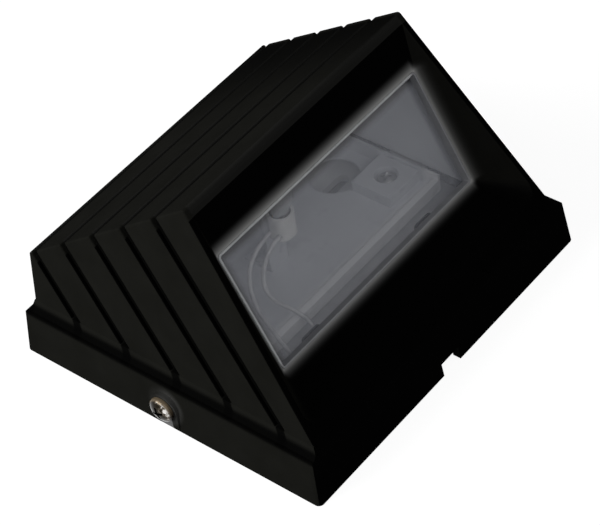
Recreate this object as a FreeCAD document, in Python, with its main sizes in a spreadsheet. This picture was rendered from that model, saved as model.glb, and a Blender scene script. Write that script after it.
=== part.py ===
# Step light: a wedge-shaped cast cover with a recessed window, screwed over a back plate that
# carries the reflector, the lampholder with its lamp, and the terminal block.
# The back of the light lies on z = 0, the window faces -Y and +Z points out of the wall.
import FreeCAD, Part
import math
import os
import Sketcher
from FreeCAD import Placement, Rotation, Vector

document = FreeCAD.newDocument("step_light")

# Grooves down each end and over the top
GROOVES = 5

# Driving dimensions, in millimetres and degrees
SIZES = [
    # cast cover: skirt, wedge and walls
    ("length", 140.0),
    ("depth", 128.0),
    ("height", 90.0),
    ("skirt_height", 17.6),
    ("skirt_draft", 2.2),
    ("skirt_corner", 2.0),
    ("rib_round", 0.7),
    ("ridge_round", 1.2),
    ("end_ledge", 3.4),
    ("back_ledge", 1.6),
    ("cove_height", 3.0),
    ("cove_run", 2.4),
    ("ridge_setback", 51.8),
    ("ridge_width", 108.4),
    ("back_height", 40.2),
    ("back_inset", 4.0),
    ("cast_wall", 3.0),
    # grooves over the ends and the top of the cover
    ("groove_first", 16.0),
    ("groove_last", 2.7),
    ("groove_width", 3.0),
    ("groove_depth", 1.5),
    ("groove_angle", 52.0),
    # funnel-shaped recess in the front, and the window at its foot
    ("sill", 7.5),
    ("rim", 2.2),
    ("recess_corner", 6.0),
    ("window_width", 100.4),
    ("window_height", 44.6),
    ("window_corner", 1.5),
    ("window_low", 23.8),
    ("window_sink", 12.4),
    ("window_tilt", 8.5),
    ("lens_seat", 1.2),
    ("notch_width", 9.0),
    ("notch_height", 5.0),
    # lens, its gasket and the clips behind it
    ("lens_overlap", 2.5),
    ("lens_thickness", 4.0),
    ("lens_corner", 2.0),
    ("gasket_thickness", 1.5),
    ("gasket_lip", 0.8),
    ("gasket_proud", 0.3),
    ("lens_play", 0.4),
    ("clip_spacing", 60.0),
    ("clip_boss_radius", 3.5),
    ("clip_width", 9.0),
    ("clip_reach", 1.7),
    ("clip_thickness", 0.8),
    ("small_screw_radius", 1.5),
    ("small_screw_length", 6.0),
    ("small_head_radius", 2.8),
    ("small_head_height", 1.9),
    ("thread_play", 0.05),
    # screws through the ends of the skirt
    ("cover_screw_radius", 2.5),
    ("cover_screw_length", 11.0),
    ("cover_screw_height", 8.2),
    ("cover_head_radius", 4.75),
    ("cover_head_height", 3.1),
    ("cover_slot_play", 0.3),
    ("head_seat_play", 0.9),
    ("head_gap", 0.1),
    # back plate with its gasket, posts, wall slots and cable entry
    ("wall_gasket_thickness", 2.0),
    ("wall_gasket_band", 6.0),
    ("plate_thickness", 3.0),
    ("plate_play", 0.55),
    ("plate_corner", 3.0),
    ("cable_gap", 14.0),
    ("cable_gap_length", 12.0),
    ("post_height", 8.5),
    ("post_length", 21.4),
    ("post_inset", 1.4),
    ("post_width", 14.0),
    ("wall_slot_spacing", 88.9),
    ("wall_slot_y", 19.0),
    ("wall_slot_radius", 2.4),
    ("wall_slot_length", 12.0),
    ("entry_x", 22.0),
    ("entry_inset", 23.8),
    ("entry_radius", 8.0),
    # reflector tray
    ("sheet", 1.0),
    ("tray_end_gap", 2.4),
    ("tray_front_reach", 17.0),
    ("tray_back_gap", 11.0),
    ("tray_flange", 6.0),
    ("tray_lip", 4.0),
    ("tray_hem", 2.6),
    ("pad_rise", 4.5),
    ("pad_play", 0.5),
    ("access_radius", 9.2),
    ("tray_screw_inset", 13.9),
    ("tray_screw_radius", 2.0),
    ("tray_screw_length", 6.5),
    ("tray_head_radius", 3.7),
    ("tray_head_height", 2.4),
    ("dimple_radius", 4.3),
    ("dimple_depth", 2.7),
    # lamp bracket and lampholder
    ("bracket_sheet", 1.2),
    ("bracket_half_width", 4.6),
    ("bracket_height", 26.0),
    ("bracket_foot", 12.0),
    ("rivet_spacing", 4.6),
    ("rivet_radius", 1.2),
    ("rivet_head_radius", 2.0),
    ("rivet_head_height", 1.0),
    ("lamp_y", 3.0),
    ("holder_depth", 8.8),
    ("holder_low", 27.6),
    ("holder_height", 9.6),
    ("holder_corner", 3.8),
    ("holder_slot_depth", 4.9),
    ("holder_slot_width", 6.8),
    ("holder_slot_gap", 3.7),
    ("holder_screw_height", 2.3),
    ("contact_sheet", 0.4),
    ("contact_width", 4.0),
    ("contact_play", 0.1),
    ("lead_spacing", 3.8),
    # lamp
    ("wedge_play", 0.6),
    ("wedge_length", 4.6),
    ("wedge_floor_gap", 0.5),
    ("lamp_neck_radius", 3.4),
    ("lamp_shoulder", 5.0),
    ("lamp_radius", 5.4),
    ("lamp_length", 20.0),
    ("lamp_glass", 0.8),
    ("lamp_strip", 0.3),
    ("lamp_strip_width", 1.0),
    ("filament_spacing", 3.6),
    ("filament_height", 10.0),
    ("filament_wire", 0.35),
    ("filament_radius", 0.7),
    # terminal block, leads and grommet
    ("block_x", -25.0),
    ("block_inset", 22.8),
    ("block_width", 26.0),
    ("block_depth", 15.0),
    ("block_height", 10.5),
    ("block_seat", 3.4),
    ("pole_spacing", 13.0),
    ("pole_height", 5.0),
    ("insert_radius", 2.4),
    ("insert_bore", 1.5),
    ("insert_recess", 1.0),
    ("terminal_screw_radius", 1.25),
    ("terminal_screw_offset", 4.5),
    ("terminal_well_radius", 2.0),
    ("terminal_screw_length", 2.0),
    ("terminal_head_radius", 1.75),
    ("terminal_head_height", 1.4),
    ("lead_radius", 0.95),
    ("lead_entry", 2.2),
    ("lead_straight", 5.0),
    ("lead_rise", 2.8),
    ("lead_overhang", 1.5),
    ("lead_lean", 8.0),
    ("lead_front_reach", 7.0),
    ("lead_front_advance", 3.0),
    ("lead_back_reach", 11.0),
    ("lead_back_advance", 5.0),
    ("grommet_flange", 2.0),
    ("grommet_lip", 1.5),
    ("grommet_bore", 3.5),
]

# Places that follow from the driving dimensions
PLACES = [
    ("half_length", "sizes.length / 2"),
    ("half_depth", "sizes.depth / 2"),
    ("skirt_slope", "sizes.skirt_draft / sizes.skirt_height"),
    ("front_low_y", "sizes.skirt_draft - half_depth"),
    ("back_low_y", "half_depth - sizes.skirt_draft - sizes.back_ledge"),
    ("ridge_y", "sizes.ridge_setback - half_depth"),
    ("back_top_y", "half_depth - sizes.back_inset"),
    ("end_low_x", "half_length - sizes.skirt_draft - sizes.end_ledge"),
    ("wedge_height", "sizes.height - sizes.skirt_height"),
    ("end_slope", "(end_low_x - sizes.ridge_width / 2) / wedge_height"),
    ("front_angle", "atan2(wedge_height; ridge_y - front_low_y)"),
    ("top_angle", "atan2(sizes.height - sizes.back_height; back_top_y - ridge_y)"),
    ("front_length", "wedge_height / sin(front_angle)"),
    ("top_length", "(sizes.height - sizes.back_height) / sin(top_angle)"),
    ("groove_pitch", f"(top_length - sizes.groove_first - sizes.groove_last) / {GROOVES - 1}"),
    ("ceiling", "sizes.skirt_height - sizes.cast_wall"),
    ("window_angle", "front_angle + sizes.window_tilt * 1deg"),
    ("window_low_y", "front_low_y + sizes.window_low * cos(front_angle)"
                     " + sizes.window_sink * sin(front_angle)"),
    ("window_low_z", "sizes.skirt_height + sizes.window_low * sin(front_angle)"
                     " - sizes.window_sink * cos(front_angle)"),
    ("window_y", "window_low_y + sizes.window_height / 2 * cos(window_angle)"),
    ("window_z", "window_low_z + sizes.window_height / 2 * sin(window_angle)"),
    ("lens_width", "sizes.window_width + 2 * sizes.lens_overlap"),
    ("lens_height", "sizes.window_height + 2 * sizes.lens_overlap"),
    ("gasket_back", "-sizes.lens_seat - sizes.gasket_thickness"),
    ("lens_back", "gasket_back - sizes.lens_thickness"),
    ("clip_back", "lens_back - sizes.clip_thickness"),
    ("clip_row", "lens_height / 2 + sizes.lens_play + sizes.clip_boss_radius"),
    ("plate_top", "sizes.wall_gasket_thickness + sizes.plate_thickness"),
    ("plate_half_x", "half_length - sizes.cast_wall - skirt_slope * plate_top - sizes.plate_play"),
    ("plate_half_y", "half_depth - sizes.cast_wall - skirt_slope * plate_top - sizes.plate_play"),
    ("cable_gap_y", "sizes.cable_gap_length - plate_half_y"),
    ("post_top", "plate_top + sizes.post_height"),
    ("post_outer", "plate_half_x - sizes.post_inset"),
    ("post_inner", "post_outer - sizes.post_length"),
    ("entry_y", "sizes.entry_inset - plate_half_y"),
    ("block_y", "sizes.block_inset - plate_half_y"),
    ("tray_half_width", "end_low_x - sizes.cast_wall - sizes.tray_end_gap"),
    ("tray_front", "-sizes.tray_front_reach"),
    ("tray_back", "back_top_y - sizes.cast_wall - sizes.tray_back_gap"),
    ("tray_screw_x", "post_outer - sizes.tray_screw_inset"),
    ("head_seat_x", "half_length"),
    ("tray_floor", "post_top + sizes.sheet - sizes.pad_rise"),
    ("pad_top", "post_top + sizes.sheet"),
    ("pad_half_y", "sizes.post_width / 2 + sizes.pad_play + sizes.sheet"),
    ("pad_inner_x", "post_inner - sizes.pad_play - sizes.sheet"),
    ("dimple_floor", "pad_top - sizes.dimple_depth"),
    ("bracket_top", "tray_floor + sizes.bracket_height"),
    ("holder_half_y", "sizes.holder_depth / 2"),
    ("bracket_back", "holder_half_y + sizes.bracket_sheet"),
    ("bracket_rear", "holder_half_y + sizes.bracket_foot"),
    ("rivet_y", "(bracket_back + bracket_rear) / 2"),
    ("holder_top", "sizes.holder_low + sizes.holder_height"),
    ("slot_floor", "holder_top - sizes.holder_slot_depth"),
    ("lead_height", "sizes.holder_low + sizes.holder_screw_height"),
    ("wedge_low", "slot_floor + sizes.wedge_floor_gap"),
    ("wedge_half_x", "sizes.holder_slot_width / 2 - sizes.wedge_play"),
    ("strip_half_y", "sizes.holder_slot_gap / 2 - sizes.contact_sheet - sizes.contact_play"),
    ("wedge_half_y", "strip_half_y - sizes.lamp_strip"),
    ("wedge_top", "wedge_low + sizes.wedge_length"),
    ("lamp_top", "wedge_top + sizes.lamp_length"),
    ("lamp_floor", "wedge_top + sizes.lamp_glass"),
    ("pole_z", "plate_top + sizes.pole_height"),
    ("block_top", "plate_top + sizes.block_height"),
    ("terminal_low", "pole_z + sizes.lead_radius"),
    ("terminal_seat", "terminal_low + sizes.terminal_screw_length"),
]

sizes = document.addObject("Spreadsheet::Sheet", "sizes")
for row, (alias, value) in enumerate(SIZES, 1):
    sizes.set(f"A{row}", alias)
    sizes.set(f"B{row}", str(value))
    sizes.setAlias(f"B{row}", alias)
document.recompute()

places = document.addObject("Spreadsheet::Sheet", "places")
for row, (alias, formula) in enumerate(PLACES, 1):
    places.set(f"A{row}", alias)
    places.set(f"B{row}", "=" + formula)
    places.setAlias(f"B{row}", alias)
    document.recompute()

# Frames that a sketch or a body can lie in: a point of the symmetry plane and a turn about X
FRONT = ("places.front_low_y", "sizes.skirt_height", "places.front_angle")
WINDOW = ("places.window_y", "places.window_z", "places.window_angle")
X_AXIS = Vector(1, 0, 0)
START_RADIUS = 50.0


def new_body(label, frame=None):
    """Start a body, lying in a frame where one is given."""
    body = document.addObject("PartDesign::Body", label)
    if frame:
        y, z, angle = frame
        body.Placement = Placement(Vector(0, 0, 0), Rotation(X_AXIS, 45))
        body.setExpression(".Placement.Base.y", y)
        body.setExpression(".Placement.Base.z", z)
        body.setExpression(".Placement.Rotation.Angle", angle)
    return body


def origin_part(body, role):
    """The body's own origin plane or axis with that role."""
    return next(part for part in body.Origin.OriginFeatures if part.Role == role)


def new_sketch(body, role, lift="0", frame=None):
    """A sketch on an origin plane, lifted along its normal, or in a frame turned about X."""
    sketch = body.newObject("Sketcher::SketchObject", "sketch")
    sketch.AttachmentSupport = [(origin_part(body, role), "")]
    sketch.MapMode = "FlatFace"
    if frame:
        y, z, angle = frame
        sketch.AttachmentOffset = Placement(Vector(0, 0, 0), Rotation(X_AXIS, 45))
        sketch.setExpression(".AttachmentOffset.Base.y", f"{y} - ({lift}) * sin({angle})")
        sketch.setExpression(".AttachmentOffset.Base.z", f"{z} + ({lift}) * cos({angle})")
        sketch.setExpression(".AttachmentOffset.Rotation.Angle", angle)
    else:
        sketch.setExpression(".AttachmentOffset.Base.z", lift)
    return sketch


def bound(sketch, kind, *where, value, expression):
    """Add a dimension to a sketch and bind it to an expression."""
    index = sketch.addConstraint(Sketcher.Constraint(kind, *where, value))
    sketch.setExpression(f"Constraints[{index}]", expression)


def draw_polygon(sketch, points, corner=None):
    """Closed outline through points given as pairs of expressions, with rounded corners if asked."""
    first = sketch.GeometryCount
    count = len(points)
    turns = [2 * math.pi * index / count for index in range(count)]
    ring = [Vector(START_RADIUS * math.cos(turn), START_RADIUS * math.sin(turn), 0) for turn in turns]
    for index in range(count):
        sketch.addGeometry(Part.LineSegment(ring[index], ring[(index + 1) % count]))
    for index in range(count):
        follower = first + (index + 1) % count
        sketch.addConstraint(Sketcher.Constraint("Coincident", first + index, 2, follower, 1))
    for index, (x, y) in enumerate(points):
        bound(sketch, "DistanceX", -1, 1, first + index, 1, value=ring[index].x, expression=x)
        bound(sketch, "DistanceY", -1, 1, first + index, 1, value=ring[index].y, expression=y)
    if corner:
        radii = corner if isinstance(corner, list) else [corner] * count
        document.recompute()
        for index in range(count):
            before = first + (index - 1) % count
            after = first + index
            end, start = sketch.Geometry[before], sketch.Geometry[after]
            near_end = end.EndPoint * 0.9 + end.StartPoint * 0.1
            near_start = start.StartPoint * 0.9 + start.EndPoint * 0.1
            arc = sketch.GeometryCount
            sketch.fillet(before, after, near_end, near_start, 1.0, True, True)
            bound(sketch, "Radius", arc, value=1.0, expression=radii[index])


def draw_circle(sketch, x, y, radius):
    """Circle with its centre and radius given as expressions."""
    index = sketch.addGeometry(Part.Circle(Vector(1, 1, 0), Vector(0, 0, 1), 1))
    bound(sketch, "DistanceX", -1, 1, index, 3, value=1, expression=x)
    bound(sketch, "DistanceY", -1, 1, index, 3, value=1, expression=y)
    bound(sketch, "Radius", index, value=1, expression=radius)


def rectangle(x0, x1, y0, y1):
    """Corner points of a rectangle from its four sides."""
    return [(x0, y0), (x1, y0), (x1, y1), (x0, y1)]


def centred(width, height):
    """Corner points of a rectangle about the origin."""
    return rectangle(f"-({width}) / 2", f"({width}) / 2", f"-({height}) / 2", f"({height}) / 2")


def both_ends(points):
    """A set of points on the +X side and the same points on the -X side."""
    return [points, [(f"-({x})", y) for x, y in points]]


def extrude(body, sketch, length, cut=False, symmetric=False, backwards=False, taper=None):
    """Pad a sketch along its normal, or pocket that same space out of the body."""
    feature = body.newObject("PartDesign::Pocket" if cut else "PartDesign::Pad", "cut" if cut else "pad")
    feature.Profile = sketch
    feature.setExpression("Length", length)
    if symmetric:
        feature.SideType = "Symmetric"
    else:
        feature.Reversed = cut != backwards
    if taper:
        feature.setExpression("TaperAngle", taper)
    return feature


def slab(body, outlines, low, high, cut=False, corner=None, role="XY_Plane"):
    """Prism over one or more polygons of a plane between two heights along its normal."""
    sketch = new_sketch(body, role, low)
    for points in outlines:
        draw_polygon(sketch, points, corner)
    return extrude(body, sketch, f"{high} - ({low})", cut)


def discs(body, circles, low, high, cut=False, role="XY_Plane"):
    """Cylinders over circles (x, y, radius) of a plane between two heights along its normal."""
    sketch = new_sketch(body, role, low)
    for circle in circles:
        draw_circle(sketch, *circle)
    return extrude(body, sketch, f"{high} - ({low})", cut)


def loft(body, sketches, ruled=True):
    """Loft through sketches in their order."""
    feature = body.newObject("PartDesign::AdditiveLoft", "loft")
    feature.Profile = sketches[0]
    feature.Sections = sketches[1:]
    feature.Ruled = ruled
    return feature


def round_edges(body, radius, chosen):
    """Fillet the edges of the body's last feature that a test picks."""
    document.recompute()
    base = body.Tip
    names = [f"Edge{index}" for index, edge in enumerate(base.Shape.Edges, 1) if chosen(edge)]
    fillet = body.newObject("PartDesign::Fillet", "fillet")
    fillet.Base = (base, names)
    fillet.setExpression("Radius", radius)
    return fillet


def revolve(body, points, role="XZ_Plane"):
    """Turned solid from a half section drawn beside the body's own Z axis."""
    sketch = new_sketch(body, role)
    draw_polygon(sketch, points)
    feature = body.newObject("PartDesign::Revolution", "turned")
    feature.Profile = sketch
    feature.ReferenceAxis = (sketch, ["V_Axis"])
    feature.Angle = 360
    return feature


def combine(kind, label, *shapes):
    """Part boolean of finished shapes."""
    result = document.addObject(kind, label)
    if kind in ("Part::Cut", "Part::Common"):
        result.Base, result.Tool = shapes
    elif kind == "Part::Compound":
        result.Links = list(shapes)
    else:
        result.Shapes = list(shapes)
    return result


# Cast cover, outside: a drafted skirt, a coved ledge and the wedge with its grooved ends and top
def top_point(along, sink="0"):
    """Point of the side view, a distance along the top from the ridge and below the surface."""
    y = f"places.ridge_y + ({along}) * cos(places.top_angle) - ({sink}) * sin(places.top_angle)"
    z = f"sizes.height - ({along}) * sin(places.top_angle) - ({sink}) * cos(places.top_angle)"
    return y, z


def groove_foot(along):
    """Foot of a groove edge on the skirt, for an edge that starts a distance along the top."""
    y, z = top_point(along)
    return f"{y} - ({z} - places.ceiling) / tan(sizes.groove_angle)", "places.ceiling"


def end_cut(body, low_x):
    """Trim both ends of the wedge to the drafted end planes, which run on down into the skirt."""
    far = f"{low_x} + sizes.length"
    over = "sizes.height + sizes.skirt_height"
    at_ceiling = f"{low_x} + places.end_slope * sizes.cast_wall"
    at_over = f"{low_x} - places.end_slope * sizes.height"
    side = [(at_ceiling, "places.ceiling"), (far, "places.ceiling"), (far, over), (at_over, over)]
    sketch = new_sketch(body, "XZ_Plane")
    for points in both_ends(side):
        draw_polygon(sketch, points)
    extrude(body, sketch, "2 * sizes.depth", cut=True, symmetric=True)


def across(body, points):
    """Prism over a side view, across the whole length of the wedge, with drafted ends."""
    sketch = new_sketch(body, "YZ_Plane")
    draw_polygon(sketch, points)
    extrude(body, sketch, "sizes.length", symmetric=True)


outer = new_body("skirt_and_core")
across(outer, [
    ("places.front_low_y + sizes.sill", "places.ceiling"),
    ("places.back_top_y - sizes.groove_depth", "places.ceiling"),
    ("places.back_top_y - sizes.groove_depth", "sizes.back_height - sizes.groove_depth"),
    top_point("sizes.groove_first / 2", "sizes.groove_depth"),
])
end_cut(outer, "places.end_low_x - sizes.groove_depth")

grooves = [f"sizes.groove_first + {index} * places.groove_pitch" for index in range(GROOVES)]
before = [f"{groove} - sizes.groove_width / 2" for groove in grooves]
after = [f"{groove} + sizes.groove_width / 2" for groove in grooves]
front_rib = [
    top_point("0"),
    ("places.front_low_y", "sizes.skirt_height"),
    ("places.front_low_y + sizes.skirt_draft", "places.ceiling"),
    groove_foot(before[0]),
    top_point(before[0]),
]
back_rib = [
    top_point(after[-1]),
    groove_foot(after[-1]),
    ("places.back_low_y", "places.ceiling"),
    ("places.back_low_y", "sizes.skirt_height"),
    ("places.back_top_y", "sizes.back_height"),
]
middle_ribs = [[top_point(start), groove_foot(start), groove_foot(stop), top_point(stop)]
               for start, stop in zip(after, before[1:])]


def is_ridge(edge):
    """The long edge where the top meets the front."""
    near = abs(edge.CenterOfMass.y - places.ridge_y) < sizes.rib_round
    return near and edge.BoundBox.XLength > sizes.ridge_width / 2


def is_rib_edge(edge):
    """An edge of a rib above the cove."""
    return edge.CenterOfMass.z > sizes.skirt_height + sizes.cove_height


ribs = []
for points in (front_rib, *middle_ribs, back_rib):
    rib = new_body("rib")
    across(rib, points)
    end_cut(rib, "places.end_low_x")
    if points is front_rib:
        round_edges(rib, "sizes.ridge_round", is_ridge)
    round_edges(rib, "sizes.rib_round", is_rib_edge)
    ribs.append(rib)

COVE_STEPS = [("0", "1"), ("0.3", "0.35"), ("1", "0")]
cove = []
for rise, run in COVE_STEPS:
    up = f"{rise} * sizes.cove_height"
    half_x = f"places.end_low_x - places.end_slope * {up} + {run} * sizes.cove_run"
    front_y = f"places.front_low_y + {up} / tan(places.front_angle)"
    back_y = f"places.back_low_y + {run} * sizes.back_ledge"
    section = new_sketch(outer, "XY_Plane", f"sizes.skirt_height + {up}")
    draw_polygon(section, rectangle(f"-({half_x})", half_x, front_y, back_y))
    cove.append(section)
loft(outer, cove)

skirt = new_sketch(outer, "XY_Plane")
draw_polygon(skirt, centred("sizes.length", "sizes.depth"), "sizes.skirt_corner")
extrude(outer, skirt, "sizes.skirt_height", taper="-atan(places.skirt_slope)")

# Flat seats for the end screws, raised from the drafted skirt
seats = new_body("screw_seats")
seat_radius = "sizes.cover_head_radius + sizes.head_seat_play"
seat_inner = "places.half_length - 0.8 * sizes.cast_wall"
for low, high in ((seat_inner, "places.head_seat_x"), ("-places.head_seat_x", f"-({seat_inner})")):
    slab(seats, [rectangle(f"-({seat_radius})", seat_radius, "0", "sizes.cover_screw_height")],
         low, high, role="YZ_Plane")
    discs(seats, [("0", "sizes.cover_screw_height", seat_radius)], low, high, role="YZ_Plane")
cover_outside = combine("Part::MultiFuse", "cover_outside", outer, seats, *ribs)

# Cast cover, inside: the hollow that leaves an even wall behind the skirt and the wedge
cavity = new_body("cover_hollow")
hollow = new_sketch(cavity, "YZ_Plane")
corner_share = "sizes.cast_wall / (1 + cos(places.front_angle + places.top_angle))"
hollow_back = "places.back_top_y - sizes.cast_wall"
hollow_front = ("places.front_low_y - sizes.cast_wall / tan(places.front_angle)"
                " + sizes.cast_wall / sin(places.front_angle)")
draw_polygon(hollow, [
    (f"{hollow_front} + sizes.skirt_draft", "places.ceiling - sizes.cast_wall"),
    (hollow_back, "places.ceiling - sizes.cast_wall"),
    (hollow_back, f"sizes.height - ({hollow_back} - places.ridge_y) * tan(places.top_angle)"
                  " - sizes.cast_wall / cos(places.top_angle)"),
    (f"places.ridge_y + {corner_share} * (sin(places.front_angle) - sin(places.top_angle))",
     f"sizes.height - {corner_share} * (cos(places.front_angle) + cos(places.top_angle))"),
    (hollow_front, "places.ceiling"),
])
extrude(cavity, hollow, "2 * (places.end_low_x - sizes.cast_wall)", symmetric=True)
end_cut(cavity, "places.end_low_x - sizes.cast_wall")
inner_skirt = new_sketch(cavity, "XY_Plane")
draw_polygon(inner_skirt, centred("sizes.length - 2 * sizes.cast_wall", "sizes.depth - 2 * sizes.cast_wall"))
extrude(cavity, inner_skirt, "places.ceiling", taper="-atan(places.skirt_slope)")


# Front funnel: a thickened frame behind the front, and the recess that slopes in to the window
def front_half(up, inset):
    """Half the width of the front a distance up its slope, less an inset."""
    return f"places.end_low_x - places.end_slope * ({up}) * sin(places.front_angle) - {inset}"


def front_outline(low, high, inset):
    """Outline on the front that follows its tapering ends."""
    low_half, high_half = front_half(low, inset), front_half(high, inset)
    return [(f"-({low_half})", low), (low_half, low), (high_half, high), (f"-({high_half})", high)]


frame = new_body("lens_frame")
frame_front = new_sketch(frame, "XY_Plane", "0", FRONT)
draw_polygon(frame_front, front_outline("sizes.sill - sizes.cast_wall", "places.front_length", "0"))
frame_seat = new_sketch(frame, "XY_Plane", "-sizes.lens_seat", WINDOW)
frame_height = "2 * (places.clip_row + sizes.clip_boss_radius)"
draw_polygon(frame_seat, centred("places.lens_width + 2 * sizes.lens_overlap", frame_height))
loft(frame, [frame_front, frame_seat])

recess = new_body("front_recess")
recess_front = new_sketch(recess, "XY_Plane", "0", FRONT)
recess_top = "places.front_length - sizes.rim"
draw_polygon(recess_front, front_outline("sizes.sill", recess_top, "sizes.rim"),
             ["sizes.recess_corner", "sizes.recess_corner", "sizes.window_corner", "sizes.window_corner"])
recess_foot = new_sketch(recess, "XY_Plane", "0", WINDOW)
draw_polygon(recess_foot, centred("sizes.window_width", "sizes.window_height"), "sizes.window_corner")
loft(recess, [recess_front, recess_foot])
through = new_sketch(recess, "XY_Plane", "0", WINDOW)
draw_polygon(through, centred("sizes.window_width", "sizes.window_height"), "sizes.window_corner")
extrude(recess, through, "2 * sizes.lens_seat", backwards=True)

# Bosses beside the lens for its clip screws
clip_x = "sizes.clip_spacing / 2"
clip_places = [(f"{side}{clip_x}", f"{end}places.clip_row") for side in ("", "-") for end in ("", "-")]
bosses = new_body("clip_bosses", WINDOW)
discs(bosses, [(x, y, "sizes.clip_boss_radius") for x, y in clip_places],
      "places.lens_back", "sizes.clip_thickness - sizes.lens_seat")
clip_holes = new_body("clip_holes", WINDOW)
clip_bore = "sizes.small_screw_radius + sizes.thread_play"
discs(clip_holes, [(x, y, clip_bore) for x, y in clip_places], "places.clip_back",
      "places.clip_back + sizes.small_screw_length + sizes.lens_play")

# Cable notch in the front of the skirt, and open slots for the end screws
openings = new_body("skirt_openings")
slab(openings, [rectangle("-sizes.notch_width / 2", "sizes.notch_width / 2",
                          "-places.half_depth - sizes.cast_wall", "sizes.cast_wall + places.front_low_y")],
     "-sizes.cast_wall", "sizes.notch_height")
slot_radius = "sizes.cover_screw_radius + sizes.cover_slot_play"
past = "places.half_length + sizes.cast_wall"
slot_inner = "places.end_low_x - sizes.cast_wall"
for low, high in ((slot_inner, past), (f"-({past})", f"-({slot_inner})")):
    slot = rectangle(f"-({slot_radius})", slot_radius, "-sizes.cast_wall", "sizes.cover_screw_height")
    slab(openings, [slot], low, high, role="YZ_Plane")
    discs(openings, [("0", "sizes.cover_screw_height", slot_radius)], low, high, role="YZ_Plane")

kept = combine("Part::MultiFuse", "kept_inside", frame, bosses)
hollow_space = combine("Part::Cut", "hollow_space", cavity, kept)
cast = combine("Part::Cut", "cover_cast", cover_outside, hollow_space)
cuts = combine("Part::MultiFuse", "cover_cuts", recess, clip_holes, openings)
housing = combine("Part::Cut", "housing", cast, cuts)

# Lens gasket: a silicone frame on the seat behind the window, with a collar that lines the window
lens_gasket = new_body("lens_gasket", WINDOW)
slab(lens_gasket, [centred("places.lens_width", "places.lens_height")],
     "places.gasket_back", "-sizes.lens_seat", corner="sizes.lens_corner")
slab(lens_gasket, [centred("sizes.window_width - 2 * sizes.thread_play",
                           "sizes.window_height - 2 * sizes.thread_play")],
     "places.gasket_back", "sizes.gasket_proud", corner="sizes.window_corner")
slab(lens_gasket, [centred("sizes.window_width - 2 * sizes.gasket_lip",
                           "sizes.window_height - 2 * sizes.gasket_lip")],
     "places.gasket_back", "sizes.gasket_proud", cut=True, corner="sizes.window_corner - sizes.gasket_lip")

# Lens: tempered glass with ground edges
lens = new_body("lens", WINDOW)
slab(lens, [centred("places.lens_width", "places.lens_height")],
     "places.lens_back", "places.gasket_back", corner="sizes.lens_corner")

# Lens clips: flat plates from the bosses over the edge of the glass
lens_clips = new_body("lens_clips", WINDOW)
clip_inner = "places.lens_height / 2 - sizes.clip_reach"
clip_outer = "places.clip_row + sizes.clip_boss_radius"
clip_plates = []
for x, y in clip_places:
    low, high = clip_inner, clip_outer
    if y.startswith("-"):
        low, high = f"-({clip_outer})", f"-({clip_inner})"
    clip_plates.append(rectangle(f"{x} - sizes.clip_width / 2", f"{x} + sizes.clip_width / 2", low, high))
slab(lens_clips, clip_plates, "places.clip_back", "places.lens_back", corner="sizes.window_corner")
discs(lens_clips, [(x, y, clip_bore) for x, y in clip_places],
      "places.clip_back", "places.lens_back", cut=True)

lens_clip_screws = new_body("lens_clip_screws", WINDOW)
discs(lens_clip_screws, [(x, y, "sizes.small_screw_radius") for x, y in clip_places],
      "places.clip_back", "places.clip_back + sizes.small_screw_length")
discs(lens_clip_screws, [(x, y, "sizes.small_head_radius") for x, y in clip_places],
      "places.clip_back - sizes.small_head_height", "places.clip_back")

# Back plate: a cast plate with two posts for the cover screws and the reflector
back_plate = new_body("back_plate")
slab(back_plate, [centred("2 * places.plate_half_x", "2 * places.plate_half_y")],
     "sizes.wall_gasket_thickness", "places.plate_top", corner="sizes.plate_corner")
posts = both_ends(rectangle("places.post_inner", "places.post_outer",
                            "-sizes.post_width / 2", "sizes.post_width / 2"))
slab(back_plate, posts, "places.plate_top", "places.post_top")
cable_gap = rectangle("-sizes.cable_gap / 2", "sizes.cable_gap / 2",
                      "-places.half_depth", "places.cable_gap_y")
slab(back_plate, [cable_gap], "sizes.wall_gasket_thickness", "places.plate_top", cut=True)
slot_reach = "(sizes.wall_slot_length / 2 - sizes.wall_slot_radius)"
slot_sides = ("sizes.wall_slot_y - sizes.wall_slot_radius", "sizes.wall_slot_y + sizes.wall_slot_radius")
slot_ends = []
slot_middles = []
for side in ("", "-"):
    low = f"{side}sizes.wall_slot_spacing / 2 - {slot_reach}"
    high = f"{side}sizes.wall_slot_spacing / 2 + {slot_reach}"
    slot_ends += [(x, "sizes.wall_slot_y", "sizes.wall_slot_radius") for x in (low, high)]
    slot_middles.append(rectangle(low, high, *slot_sides))
slab(back_plate, slot_middles, "sizes.wall_gasket_thickness", "places.plate_top", cut=True)
discs(back_plate, slot_ends, "sizes.wall_gasket_thickness", "places.plate_top", cut=True)
discs(back_plate, [("sizes.entry_x", "places.entry_y", "sizes.entry_radius")],
      "sizes.wall_gasket_thickness", "places.plate_top", cut=True)
cover_bore = "sizes.cover_screw_radius + sizes.thread_play"
bore_end = "places.head_seat_x - sizes.cover_screw_length - sizes.lens_play"
for low, high in ((bore_end, "places.half_length"), ("-places.half_length", f"-({bore_end})")):
    discs(back_plate, [("0", "sizes.cover_screw_height", cover_bore)], low, high, cut=True, role="YZ_Plane")
tray_screws = [("places.tray_screw_x", "0"), ("-places.tray_screw_x", "0")]
nest = "sizes.dimple_radius + sizes.sheet + sizes.pad_play"
discs(back_plate, [(x, y, nest) for x, y in tray_screws],
      "places.dimple_floor - sizes.sheet", "places.post_top", cut=True)
tray_bore = "sizes.tray_screw_radius + sizes.thread_play"
discs(back_plate, [(x, y, tray_bore) for x, y in tray_screws],
      "places.dimple_floor - sizes.tray_screw_length - sizes.lens_play", "places.post_top", cut=True)
block_bore = "sizes.small_screw_radius + sizes.thread_play"
discs(back_plate, [("sizes.block_x", "places.block_y", block_bore)],
      "sizes.wall_gasket_thickness", "places.plate_top", cut=True)

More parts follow.
